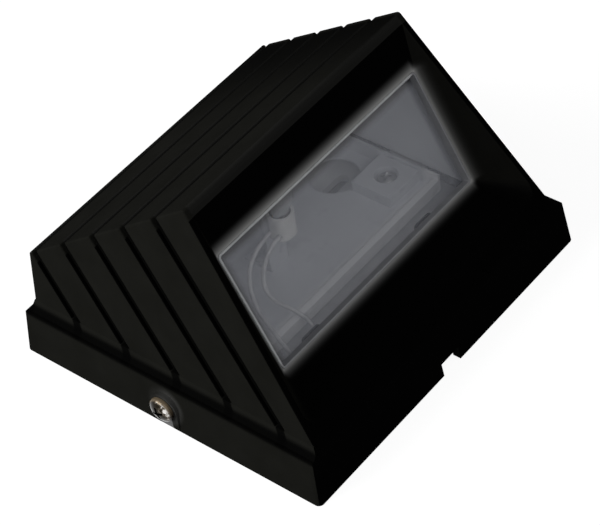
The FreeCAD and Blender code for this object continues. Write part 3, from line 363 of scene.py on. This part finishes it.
def cut_out(name, body_shape, tool_shape):
    """Mesh of one shape with another cut out of it."""
    solid = bpy.data.objects.new(name, as_mesh(name, body_shape))
    tool = bpy.data.objects.new("tool", as_mesh("tool", tool_shape))
    for item in (solid, tool):
        scene.collection.objects.link(item)
    cutting = solid.modifiers.new("cutting", "BOOLEAN")
    cutting.object = tool
    cutting.solver = "EXACT"
    cutting.use_self = True
    tree = bpy.context.evaluated_depsgraph_get()
    mesh = bpy.data.meshes.new_from_object(solid.evaluated_get(tree), depsgraph=tree)
    for item in (solid, tool):
        old = item.data
        bpy.data.objects.remove(item)
        bpy.data.meshes.remove(old)
    mesh.name = name
    return smooth(mesh)


def blade(shape, length, width, top, bottom, turn):
    """Driver blade along its length, narrowing to its point, for a slot in a screw head."""
    point_share = (0.45, 0.7, 1)
    made = bmesh.ops.create_cube(shape, size=1)["verts"]
    bmesh.ops.scale(shape, verts=made, vec=(length, width, top - bottom))
    point = [vert for vert in made if vert.co.z < 0]
    bmesh.ops.scale(shape, verts=point, vec=point_share)
    bmesh.ops.rotate(shape, verts=made, cent=(0, 0, 0), matrix=Matrix.Rotation(turn, 3, "Z"))
    bmesh.ops.translate(shape, verts=made, vec=(0, 0, (top + bottom) / 2))


def screw(name, shank, length, head, height, places, cross=True, turn=0.4, pitch=0.0008):
    """Machine screws with a domed head, seated at places given as matrices whose Z leaves the seat."""
    root, tip, ease = 0.84 * shank, 0.7 * shank, 0.00015
    profile = [(0, -length), (tip, -length)]
    crest = -length + 0.3 * shank
    while crest < -pitch:
        profile += [(shank, crest), (shank, crest + 0.2 * pitch), (root, crest + 0.6 * pitch)]
        crest += pitch
    side = 0.42 * height
    dome = (head ** 2 + (height - side) ** 2) / (2 * (height - side))
    opening = math.degrees(math.asin(head / dome))
    profile += [(root, 0), (head - ease, 0), (head, ease), (head, side * 0.8)]
    profile += bow((0, height - dome), dome, 90 - 0.97 * opening, 90, 9)
    solid = bmesh.new()
    spun(solid, profile, 36)
    above = 1.2 * height
    tool = bmesh.new()
    if cross:
        for quarter in (0, math.pi / 2):
            blade(tool, 1.25 * head, 0.24 * head, above, height * 0.32, turn + quarter)
    else:
        blade(tool, 2.4 * head, 0.22 * head, above, height * 0.45, turn)
    single = cut_out(name, solid, tool)
    group = bmesh.new()
    for place in places:
        single.transform(place)
        group.from_mesh(single)
        single.transform(place.inverted())
    bpy.data.meshes.remove(single)
    return as_mesh(name, group)


zinc = finish("bright_zinc", colour=(0.62, 0.63, 0.64), roughness=0.3, metallic=1.0)
mottle(zinc, scale=500, dark=(0.48, 0.49, 0.51), light=(0.68, 0.69, 0.7))
scuff(zinc, scale=1200, low=0.22, high=0.42)
low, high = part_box("terminal_screws")
head, height = 0.00175, 0.0014
clamp_places = [Matrix.Translation((x, y, high.z - height)) for x in (low.x + head, high.x - head)
                for y in (low.y + head, high.y - head)]
clamp_screws = screw("clamp_screws", shank=0.00125, length=0.002, head=head, height=height, places=clamp_places,
                     cross=False, pitch=0.0005)
fit("clamp_screws", clamp_screws, zinc, "base", "spring_steel", "terminal_screws")
SMALL_SCREW = {"shank": 0.0015, "length": 0.006, "head": 0.0028, "height": 0.0019, "pitch": 0.0005}
low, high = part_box("terminal_mount_screw")
middle = (low + high) / 2
block_place = Matrix.Translation((middle.x, middle.y, high.z - SMALL_SCREW["height"]))
block_screw = screw("block_screw", **SMALL_SCREW, places=[block_place], turn=0.9)
fit("block_screw", block_screw, zinc, "base", "spring_steel", "terminal_mount_screw")


# Reflector: a tray of steel sheet, folded up at its ends and back, with a hemmed front lip and two pressed pads.
# It is stove-enamelled white and a little dulled by the heat round the lamp, and its hem is painted brighter as a
# painted highlight.
# Two dull plated screws in the pads hold it on the posts of the back plate.
def blend(material, factor, first, second):
    """Colour mix of two sockets or colours."""
    node = node_in(material, "ShaderNodeMix", data_type="RGBA")
    for socket, value in ((node.inputs["Factor"], factor), (node.inputs["A"], first), (node.inputs["B"], second)):
        if isinstance(value, tuple):
            socket.default_value = (*value, 1)
        else:
            join(material, value, socket)
    return node.outputs["Result"]


def soft_step(material, value, start, stop):
    """0 below a start, 1 above a stop and a smooth rise between them."""
    node = node_in(material, "ShaderNodeMapRange", interpolation_type="SMOOTHSTEP")
    join(material, value, node.inputs["Value"])
    node.inputs["From Min"].default_value = start
    node.inputs["From Max"].default_value = stop
    return node.outputs["Result"]


def minus(owner, first, second):
    """Difference of two sockets or numbers."""
    return math_on(owner, "SUBTRACT", first, second)


def outside(owner, mask):
    """1 where a mask is 0, and the other way round."""
    return minus(owner, 1.0, mask)


def length_of(owner, vector):
    """Length of a vector socket."""
    node = node_in(owner, "ShaderNodeVectorMath", operation="LENGTH")
    join(owner, vector, node.inputs[0])
    return node.outputs["Value"]


plain_white, dulled_white, hem_highlight_white = (0.66, 0.67, 0.708), (0.6, 0.61, 0.642), (0.9, 0.9, 0.91)
heat_centre, heat_reach = (0, 0.003, 0.02), 0.034
enamel = finish("white_enamel", colour=plain_white, roughness=0.3)
from_lamp = length_of(enamel, object_point(enamel, stretch=(heat_reach,) * 3, centre=heat_centre))
tint = ramp(enamel, from_lamp, (0.25, dulled_white), (0.95, plain_white))
low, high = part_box("reflector")
_, tray_y, _ = parts_of(enamel, object_point(enamel))
# Painted highlight: the hem of the lip is painted near white.
hem_highlight = outside(enamel, soft_step(enamel, tray_y, low.y + 0.005, low.y + 0.008))
colour_by(enamel, blend(enamel, hem_highlight, tint, hem_highlight_white))
scuff(enamel, scale=160, low=0.24, high=0.4)
grain(enamel, scale=900, height=0.00003, edge=0.0006)
dress(enamel, "reflector")

plated = finish("dull_plate", colour=(0.5, 0.5, 0.5), roughness=0.4, metallic=1.0)
mottle(plated, scale=700, dark=(0.4, 0.4, 0.41), light=(0.56, 0.56, 0.56))
scuff(plated, scale=1200, low=0.34, high=0.5)
low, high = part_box("reflector_screws")
head, height = 0.0037, 0.0024
tray_places = [Matrix.Translation((x, 0, high.z - height)) for x in (low.x + head, high.x - head)]
tray_screws = screw("tray_screws", shank=0.002, length=0.0065, head=head, height=height, places=tray_places,
                    turn=0.5, pitch=0.0007)
fit("tray_screws", tray_screws, plated, "base", "bright_screw", "reflector_screws")

# Lamp bracket: a steel angle with two domed rivets through the tray, enamelled together with it.
# Its upright stands behind the lampholder and takes the holder's screw.
dress(enamel, "lamp_bracket")
low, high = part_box("bracket_rivets")
head, rise_of_head, stem = 0.002, 0.001, 0.0012
dome = (head ** 2 + rise_of_head ** 2) / (2 * rise_of_head)
opening = math.degrees(math.asin(head / dome))
rivet_profile = bow((0, low.z + dome), dome, -90, -90 + opening, 6)
rivet_profile += [(stem, low.z + rise_of_head), (stem, high.z - rise_of_head)]
rivet_profile += bow((0, high.z - dome), dome, 90 - opening, 90, 6)
rivets = bmesh.new()
for x in (low.x + head, high.x - head):
    before = set(rivets.verts)
    spun(rivets, rivet_profile, 28)
    made = [vert for vert in rivets.verts if vert not in before]
    bmesh.ops.translate(rivets, verts=made, vec=(x, (low.y + high.y) / 2, 0))
fit("tray_rivets", as_mesh("tray_rivets", rivets), enamel, "base", "white_sheet", "bracket_rivets")


# Lampholder: a small rounded block of glazed white ceramic with a slot for the lamp's wedge;
# its mouth is painted dark as painted shade. Spring strips of brass line the slot, and a screw through the
# bracket holds the block from behind.
def plus(owner, first, *others):
    """Sum of sockets or numbers."""
    for value in others:
        first = math_on(owner, "ADD", first, value)
    return first


def under(owner, value, limit):
    """1 where a value is under a limit, else 0."""
    return math_on(owner, "LESS_THAN", value, limit)


def flat_distance(owner, first, second):
    """Distance from the middle, given along two axes."""
    return math_on(owner, "SQRT", plus(owner, times(owner, first, first), times(owner, second, second)))


glaze = finish("glazed_ceramic", colour=(0.86, 0.85, 0.82), roughness=0.14)
fired = drift(glaze, scale=260, dark=(0.84, 0.83, 0.81), light=(0.92, 0.91, 0.9))
mouth_shade_black, mouth_shade_radius, mouth_shade_depth = (0.05, 0.045, 0.04), 0.0037, 0.0052
low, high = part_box("lampholder")
mouth_centre = (0, (low.y + high.y) / 2, high.z)
mouth_x, mouth_y, mouth_z = parts_of(glaze, object_point(glaze, centre=mouth_centre))
# Painted shade: the mouth and the top of the slot are painted near black.
shaded_mouth = times(glaze, under(glaze, flat_distance(glaze, mouth_x, mouth_y), mouth_shade_radius),
                 over(glaze, mouth_z, -mouth_shade_depth))
colour_by(glaze, blend(glaze, shaded_mouth, fired, mouth_shade_black))
grain(glaze, scale=500, height=0.00003, edge=0.0007)
dress(glaze, "lampholder")
dress(brass, "lampholder_contacts")
low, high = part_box("lampholder_screw")
holder_seat = Matrix.Translation((0, high.y - SMALL_SCREW["height"], (low.z + high.z) / 2))
holder_place = holder_seat @ Matrix.Rotation(-math.pi / 2, 4, "X")
holder_screw = screw("holder_screw", **SMALL_SCREW, places=[holder_place], turn=0.2)
fit("holder_screw", holder_screw, zinc, "base", "spring_steel", "lampholder_screw")

# Lamp: a clear glass bulb blown on a flat pressed wedge, with its two wires folded up the wedge.
# A coil of tungsten hangs between two support wires and shows through the glass.
clear_glass = finish("blown_glass", colour=(0.9, 0.92, 0.93), roughness=0.05)
shader_of(clear_glass).inputs["Alpha"].default_value = 0.42
grain(clear_glass, scale=120, height=0.00015)
low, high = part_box("lamp_glass")
lamp_axis = Vector((0, (low.y + high.y) / 2, 0))
bulb_radius, neck, wall = high.x, 0.0034, 0.0008
wedge_width, wedge_thickness, wedge_rounding = 0.0056, 0.0021, 0.0005
wedge_top = low.z + 0.0046
shoulder = wedge_top + 0.005
inner_floor = wedge_top + 0.0006
outer = [(neck - 0.0012, wedge_top), (neck - 0.0002, wedge_top + 0.0004), (neck + 0.0002, wedge_top + 0.0014)]
outer += [(neck + 0.0007, shoulder - 0.0024), (bulb_radius - 0.0006, shoulder - 0.0008)]
outer += [(bulb_radius, shoulder + 0.0008)]
outer += bow((0, high.z - bulb_radius), bulb_radius, 0, 78, 10) + [(0.0009, high.z - 0.0001), (0, high.z)]
inner = [(max(radius - wall, 0), min(height, high.z - wall)) for radius, height in reversed(outer)]
inner[-1] = (neck - 0.0018, inner_floor)
inner.append((0, inner_floor))
bulb = bmesh.new()
spun(bulb, [(0, wedge_top)] + outer + inner, 48)
press = bmesh.ops.create_cube(bulb, size=1)["verts"]
bmesh.ops.scale(bulb, verts=press, vec=(wedge_width, wedge_thickness, wedge_top - low.z))
bmesh.ops.translate(bulb, verts=press, vec=(0, 0, (wedge_top + low.z) / 2))
ridges = [edge for edge in bulb.edges if edge.verts[0] in press and edge.verts[1] in press]
bmesh.ops.bevel(bulb, geom=ridges, offset=wedge_rounding, offset_type="OFFSET", segments=3, profile=0.5,
                affect="EDGES", material=-1)
bmesh.ops.translate(bulb, verts=bulb.verts, vec=lamp_axis)
fit("lamp_bulb", as_mesh("lamp_bulb", bulb), clear_glass, "lamp", "lamp_glass", "lamp_glass")

wire = finish("drawn_wire", colour=(0.42, 0.41, 0.39), roughness=0.35, metallic=1.0)
mottle(wire, scale=900, dark=(0.3, 0.29, 0.28), light=(0.5, 0.49, 0.47))
dress(wire, "lamp_contacts")
low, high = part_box("lamp_filament")
coil_radius, strand, post, turns_of_coil = 0.0006, 0.0001, 0.00025, 14
coil_z, coil_half = high.z - 0.0007, 0.0018
post_top = coil_z + coil_radius
coil = bmesh.new()
bead = bmesh.ops.create_circle(coil, segments=6, radius=strand, cap_ends=False)["verts"]
bmesh.ops.rotate(coil, verts=bead, cent=(0, 0, 0), matrix=Matrix.Rotation(math.pi / 2, 3, "X"))
bmesh.ops.translate(coil, verts=bead, vec=(-coil_half, 0, coil_radius))
steps = turns_of_coil * 12
bmesh.ops.spin(coil, geom=coil.verts[:] + coil.edges[:], cent=(0, 0, 0), axis=(1, 0, 0),
               angle=2 * math.pi * turns_of_coil, steps=steps, dvec=(2 * coil_half / steps, 0, 0))
bmesh.ops.translate(coil, verts=coil.verts, vec=(0, 0, coil_z))
for side in (-1, 1):
    leg = bmesh.ops.create_cone(coil, cap_ends=True, segments=10, radius1=post, radius2=post * 0.7,
                                depth=post_top - low.z)["verts"]
    bmesh.ops.translate(coil, verts=leg, vec=(side * coil_half, 0, (post_top + low.z) / 2))
bmesh.ops.translate(coil, verts=coil.verts, vec=lamp_axis)
fit("filament_coil", as_mesh("filament_coil", coil), wire, "lamp", "tungsten", "lamp_filament")

# Leads: two thin leads in pale silicone sleeving, pushed into the lampholder and clamped in the block.
# They leave the holder sideways, drop to the tray and pass over its hemmed lip.
sleeving = finish("silicone_sleeving", colour=(0.6, 0.6, 0.6), roughness=0.5)
mottle(sleeving, scale=350, dark=(0.5, 0.5, 0.51), light=(0.66, 0.66, 0.67))
grain(sleeving, scale=2400, height=0.00003)
LEAD_ROUTES_MM = {
    "lead_front": [(-2.4, 1.1, 29.9), (-11.6, 1.1, 29.9), (-19.6, -1.9, 16.8), (-18.5, -18.5, 16.8),
                   (-18.5, -24.5, 10), (-18.5, -33.8, 10)],
    "lead_back": [(-2.4, 4.9, 29.9), (-15.6, 4.9, 29.9), (-23.6, -0.1, 16.8), (-31.5, -18.5, 16.8),
                  (-31.5, -24.5, 10), (-31.5, -33.8, 10)],
}
for name, route in LEAD_ROUTES_MM.items():
    path = bpy.data.curves.new(name + "_sleeve", "CURVE")
    path.dimensions = "3D"
    path.bevel_depth = 0.0008
    path.bevel_resolution = 3
    path.resolution_u = 10
    path.use_fill_caps = True
    spline = path.splines.new("NURBS")
    spline.points.add(len(route) - 1)
    for point, place in zip(spline.points, route):
        point.co = (*(Vector(place) / 1000), 1)
    spline.order_u = 3
    spline.use_endpoint_u = True
    fit(name + "_sleeve", path, sleeving, "base", "lead_sleeve", name)

# Housing: one die-casting in aluminium, powder-coated satin black, with a fine orange peel.
# Faces turned to the front are painted near black as painted shade; the ends and top keep a dark grey coat of
# random tone.
coat = finish("black_powder_coat", colour=(0.0095, 0.0095, 0.0088), roughness=0.55, specular=0.0)
shader_of(coat).inputs["Coat Weight"].default_value = 0.005
shader_of(coat).inputs["Coat Roughness"].default_value = 0.32
PAINTED_SHADE_BLACK, FRONT_SHADE_BLACK = (0.001, 0.001, 0.001), (0.0008, 0.0008, 0.0008)
COAT_DARK, COAT_LIGHT, LEDGE_LIGHT_GREY = (0.0081, 0.0081, 0.0069), (0.0102, 0.0102, 0.0088), (0.014, 0.014, 0.013)
SCREW_RING_LIGHT_GREY, WINDOW_GLOW_GREY, SPRAYED_WHITE = (0.042, 0.042, 0.04), (0.6, 0.6, 0.59), (0.78, 0.79, 0.82)
coat_tone = ramp(coat, noise_on(coat, scale=90, detail=5), (0.3, COAT_DARK), (0.7, COAT_LIGHT))
facing = node_in(coat, "ShaderNodeNewGeometry").outputs["Normal"]
facing_x, facing_y, facing_z = parts_of(coat, facing)
cover_x, cover_y, cover_z = parts_of(coat, object_point(coat))
from_middle = size_of(coat, cover_x)
# Faces turned to the front get painted shade in place of the coat's grey.
lit_facing = plus(coat, facing_y, times(coat, size_of(coat, facing_x), 0.6))
front_shade = outside(coat, soft_step(coat, lit_facing, -0.2, 0.0))

# The grooves run down the ends and over the top, side by side at one pitch from the ridge.
GROOVE_ANGLE, GROOVE_HALF, GROOVE_FIRST, GROOVE_PITCH = math.radians(52), 0.0015, 0.016, 0.01725
TOP_ANGLE, RIDGE_Y, RIDGE_Z = math.radians(34.6), -0.0122, 0.09
END_SLOPE, END_REACH = 0.1417, 0.06695
from_ridge = plus(coat, times(coat, minus(coat, cover_y, RIDGE_Y), math.sin(GROOVE_ANGLE)),
                  times(coat, minus(coat, cover_z, RIDGE_Z), -math.cos(GROOVE_ANGLE)))
along = times(coat, from_ridge, 1 / math.sin(GROOVE_ANGLE + TOP_ANGLE))
from_groove = math_on(coat, "PINGPONG", minus(coat, along, GROOVE_FIRST), GROOVE_PITCH / 2)
above_top = plus(coat, times(coat, minus(coat, cover_y, RIDGE_Y), math.sin(TOP_ANGLE)),
                 times(coat, minus(coat, cover_z, RIDGE_Z), math.cos(TOP_ANGLE)))
past_middle = plus(coat, from_middle, times(coat, cover_z, END_SLOPE))
on_end = soft_step(coat, past_middle, END_REACH - 0.0026, END_REACH - 0.0018)

# On the ends the floors of the grooves are painted near black as painted shade, while on the top their
# ledges are painted lighter as painted light, and the right half of the top is painted darker than the left as
# painted shade.
groove_black, right_black, groove_depth, groove_end = 0.9, 0.85, 0.004, (0.0165, 0.018)
near_groove = outside(coat, soft_step(coat, from_groove, 1.5 * GROOVE_HALF, 2.0 * GROOVE_HALF))
near_groove = times(coat, near_groove, over(coat, above_top, -groove_depth))
shade = blend(coat, times(coat, front_shade, outside(coat, near_groove)), coat_tone, FRONT_SHADE_BLACK)
in_groove = outside(coat, soft_step(coat, from_groove, 0.75 * GROOVE_HALF, 1.1 * GROOVE_HALF))
in_groove = times(coat, in_groove, over(coat, along, GROOVE_FIRST / 2), soft_step(coat, cover_z, *groove_end))
# Painted shade in the floors of the grooves on the ends.
shade = blend(coat, times(coat, in_groove, on_end, groove_black), shade, PAINTED_SHADE_BLACK)
# Painted light on the front-facing walls of the grooves on the top.
groove_ledge_light = times(coat, near_groove, outside(coat, on_end), under(coat, facing_y, 0.3))
shade = blend(coat, groove_ledge_light, shade, LEDGE_LIGHT_GREY)
# Painted shade over the right half of the top.
right_top_shade = times(coat, soft_step(coat, cover_x, 0.0, 0.055), soft_step(coat, facing_y, -0.9, 0.2),
                     outside(coat, on_end), right_black)
shade = blend(coat, right_top_shade, shade, PAINTED_SHADE_BLACK)

# The cove above the skirt is painted near black as painted shade, and a ring round each end screw is painted pale
# as painted light, most on its front side.
COVE_Z, SCREW_Z, SKIRT_END_X = 0.0178, 0.0082, 0.0668
cove_black, along_length = 0.92, (1000, 1, 1)
# Painted shade along the cove above the skirt.
in_cove = outside(coat, soft_step(coat, size_of(coat, minus(coat, cover_z, COVE_Z)), 0.0004, 0.0022))
shade = blend(coat, times(coat, in_cove, cove_black), shade, PAINTED_SHADE_BLACK)
around_screw = length_of(coat, object_point(coat, stretch=along_length, centre=(0, 0, SCREW_Z)))
# Painted light: a pale ring round each end screw, mostly on its front side.
screw_ring_light = times(coat, outside(coat, soft_step(coat, around_screw, 0.0052, 0.0085)),
               over(coat, from_middle, SKIRT_END_X),
               outside(coat, times(coat, soft_step(coat, cover_y, -0.003, 0.004), 0.75)))
shade = blend(coat, screw_ring_light, shade, SCREW_RING_LIGHT_GREY)

# Round the window the coat is painted pale as a painted glow of light on the reveals.
# It is strongest above and to the left, thinner at the right and wider on the sill.
WINDOW_CENTRE, WINDOW_TURN = (0, -0.02835, 0.05029), math.radians(64.1)
WINDOW_HALF = (0.0502, 0.0223)


def window_point(material):
    """Place in the window's own frame: along it, up it and out of it."""
    return parts_of(material, object_point(material, turn=(WINDOW_TURN, 0, 0), centre=WINDOW_CENTRE))


# Painted light: a pale glow painted on the coat round the window.
glow_width, sill_width, corner = 0.0054, 0.008, 0.001
glow_power, right_power, sill_power = 2.6, 3.6, 1.6
glow_strength, right_loss, sill_loss = 0.65, 0.32, 0.24
window_x, window_y, window_z = window_point(coat)
over_x, over_y = [math_on(coat, "MAXIMUM", minus(coat, size_of(coat, axis), half), 0.0)
                  for axis, half in zip((window_x, window_y), WINDOW_HALF)]
gap = flat_distance(coat, over_x, over_y)
at_right = soft_step(coat, window_x, WINDOW_HALF[0] - corner, WINDOW_HALF[0] + corner)
on_sill = outside(coat, soft_step(coat, window_y, -WINDOW_HALF[1] - corner, corner - WINDOW_HALF[1]))
sill_gap = plus(coat, gap, math_on(coat, "MAXIMUM", window_z, 0.0))
span = plus(coat, times(coat, gap, 1 / glow_width, outside(coat, on_sill)),
            times(coat, sill_gap, 1 / sill_width, on_sill))
power = plus(coat, glow_power, times(coat, at_right, right_power), times(coat, on_sill, sill_power))
strength = plus(coat, glow_strength, times(coat, at_right, -right_loss), times(coat, on_sill, -sill_loss))
fade = math_on(coat, "POWER", math_on(coat, "SUBTRACT", 1.0, span, clamp=True), power)
near_pane = outside(coat, soft_step(coat, size_of(coat, window_z), 0.004, 0.005))
shade = blend(coat, times(coat, fade, near_pane, strength), shade, WINDOW_GLOW_GREY)

# Inside, where the lamp shines on it, the casting is sprayed white behind the window.
SKIN, INNER_LOW_Z, INNER_BACK_Y = 0.0028, 0.006, 0.0585
inward = node_in(coat, "ShaderNodeVectorMath", operation="DOT_PRODUCT")
join(coat, facing, inward.inputs[0])
join(coat, object_point(coat, centre=(0, 0.01, 0.035)), inward.inputs[1])
forward = plus(coat, times(coat, facing_z, math.cos(WINDOW_TURN)), times(coat, facing_y, -math.sin(WINDOW_TURN)))
behind = math_on(coat, "MAXIMUM", under(coat, window_z, -0.0035), under(coat, forward, 0.05))
inside = times(coat, under(coat, inward.outputs["Value"], 0.0), behind,
               under(coat, past_middle, END_REACH - SKIN), under(coat, above_top, -SKIN),
               over(coat, cover_z, INNER_LOW_Z), under(coat, cover_y, INNER_BACK_Y))
colour_by(coat, blend(coat, inside, shade, SPRAYED_WHITE))
grain(coat, scale=1500, height=0.00002, edge=0.0006)
dress(coat, "housing")

# Lens: a pane of toughened float glass with ground edges, laid in a pale silicone gasket.
# The gasket's collar lines the window and shows round the pane, painted darker at the right and along the sill as
# painted shade.
# The glass has a grey film, partly a haze and partly a painted reflection, and is painted darker along its top and
# left edges as painted shade.
silicone = finish("pale_silicone", colour=(0.4, 0.41, 0.42), roughness=0.38)
collar_tone = drift(silicone, scale=240, dark=(0.34, 0.35, 0.36), light=(0.46, 0.47, 0.48))
collar_shade_grey, collar_shade_cover = (0.12, 0.12, 0.13), 0.75
collar_x, collar_y, _ = window_point(silicone)
# Painted shade on the collar at the right and along the sill.
shaded_right = soft_step(silicone, collar_x, WINDOW_HALF[0] - 0.003, WINDOW_HALF[0] - 0.001)
shaded_sill = outside(silicone, soft_step(silicone, collar_y, 0.001 - WINDOW_HALF[1], 0.003 - WINDOW_HALF[1]))
collar_shade = times(silicone, math_on(silicone, "MAXIMUM", shaded_right, shaded_sill), collar_shade_cover)
colour_by(silicone, blend(silicone, collar_shade, collar_tone, collar_shade_grey))
grain(silicone, scale=1200, height=0.00002, edge=0.0004)
dress(silicone, "lens_gasket")

pane = finish("filmed_glass_painted_reflection", colour=(0.5, 0.52, 0.56), roughness=0.12)
# The grey film is partly a haze and partly a painted reflection on the glass.
haze_and_reflection = drift(pane, scale=38, dark=(0.46, 0.48, 0.54), light=(0.54, 0.56, 0.625))
edge_shade_black, haze_and_reflection_cover, edge_shade_cover, edge_shade_width = (0.05, 0.05, 0.055), 0.19, 0.3, 0.0036
unshaded_centre = (0.00225, -0.0035)
unshaded_half = (WINDOW_HALF[0] - 0.00025, WINDOW_HALF[1] + 0.0005)
pane_x, pane_y, _ = window_point(pane)
inset_x, inset_y = [minus(pane, half, size_of(pane, minus(pane, axis, centre)))
                    for axis, centre, half in zip((pane_x, pane_y), unshaded_centre, unshaded_half)]
# Painted shade along the edges of the pane, darkest at the top and left.
edge_shade = outside(pane, soft_step(pane, math_on(pane, "MINIMUM", inset_x, inset_y), 0.0, edge_shade_width))
colour_by(pane, blend(pane, edge_shade, haze_and_reflection, edge_shade_black))
join(pane, plus(pane, haze_and_reflection_cover, times(pane, edge_shade, edge_shade_cover)), shader_of(pane).inputs["Alpha"])
grain(pane, scale=60, height=0.0001)
dress(pane, "lens")

# Lens clips: four flat plates of blackened spring steel, screwed to the bosses beside the window.
# Each reaches over the ground edge of the glass and holds it against its gasket.
blued = finish("blued_steel", colour=(0.05, 0.05, 0.055), roughness=0.4, metallic=1.0)
mottle(blued, scale=400, dark=(0.035, 0.035, 0.04), light=(0.08, 0.08, 0.085))
scuff(blued, scale=900, low=0.32, high=0.5)
dress(blued, "lens_clips")
window_place = Matrix.Translation(WINDOW_CENTRE) @ Matrix.Rotation(WINDOW_TURN, 4, "X")
clip_half_x, clip_row, clip_depth = 0.030, 0.0287, -0.0075
clip_places = [window_place @ Matrix.Translation((x, y, clip_depth)) @ Matrix.Rotation(math.pi, 4, "X")
               for x in (-clip_half_x, clip_half_x) for y in (-clip_row, clip_row)]
clip_screws = screw("clip_screws", **SMALL_SCREW, places=clip_places, turn=0.3)
fit("clip_screws", clip_screws, zinc, "cover", "spring_steel", "lens_clip_screws")

# Cover screws: one bright plated pan-head screw through each end of the skirt into the back plate.
# Their domes are painted with glints on one side and dark reflections on the other, and their rims are rusted
# brown, darker towards the bottom.
head, height = 0.00475, 0.0031
dark_reflection_black, dim_reflection_brown, glint_white = (0.015, 0.012, 0.008), (0.1, 0.085, 0.065), (0.8, 0.78, 0.75)
dark_rust, pale_rust = (0.012, 0.008, 0.005), (0.13, 0.1, 0.065)
for side, name in ((-1, "left"), (1, "right")):
    low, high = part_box("cover_screw_" + name)
    seat = (low.x + height if side < 0 else high.x - height, 0, (low.z + high.z) / 2)
    glints_finish = finish("painted_glints_plate_" + name, colour=(0.7, 0.68, 0.65), roughness=0.14, specular=0.08)
    _, across, up = parts_of(glints_finish, object_point(glints_finish, stretch=(1, head, head), centre=seat))
    # Painted highlights and painted dark reflections on the dome, set by the side of the head.
    glint_measure = plus(glints_finish, times(glints_finish, up, 0.25), times(glints_finish, across, -0.4),
                  times(glints_finish, noise_on(glints_finish, scale=700), 0.9))
    painted_reflections = ramp(glints_finish, glint_measure, (0.62, dark_reflection_black), (0.74, dim_reflection_brown), (0.84, glint_white))
    rim = soft_step(glints_finish, flat_distance(glints_finish, across, up), 0.82, 0.97)
    rust = ramp(glints_finish, plus(glints_finish, times(glints_finish, up, 0.5), 0.5), (0.45, dark_rust), (0.8, pale_rust))
    colour_by(glints_finish, blend(glints_finish, rim, painted_reflections, rust))
    join(glints_finish, outside(glints_finish, times(glints_finish, rim, 0.8)), shader_of(glints_finish).inputs["Metallic"])
    scuff(glints_finish, scale=1500, low=0.08, high=0.26)
    place = Matrix.Translation(seat) @ Matrix.Rotation(side * math.pi / 2, 4, "Y")
    cover_screw = screw("end_screw_" + name, shank=0.0025, length=0.011, head=head, height=height, places=[place],
                        turn=0.35)
    fit("end_screw_" + name, cover_screw, glints_finish, name + "_screw", "bright_screw", "cover_screw_" + name)
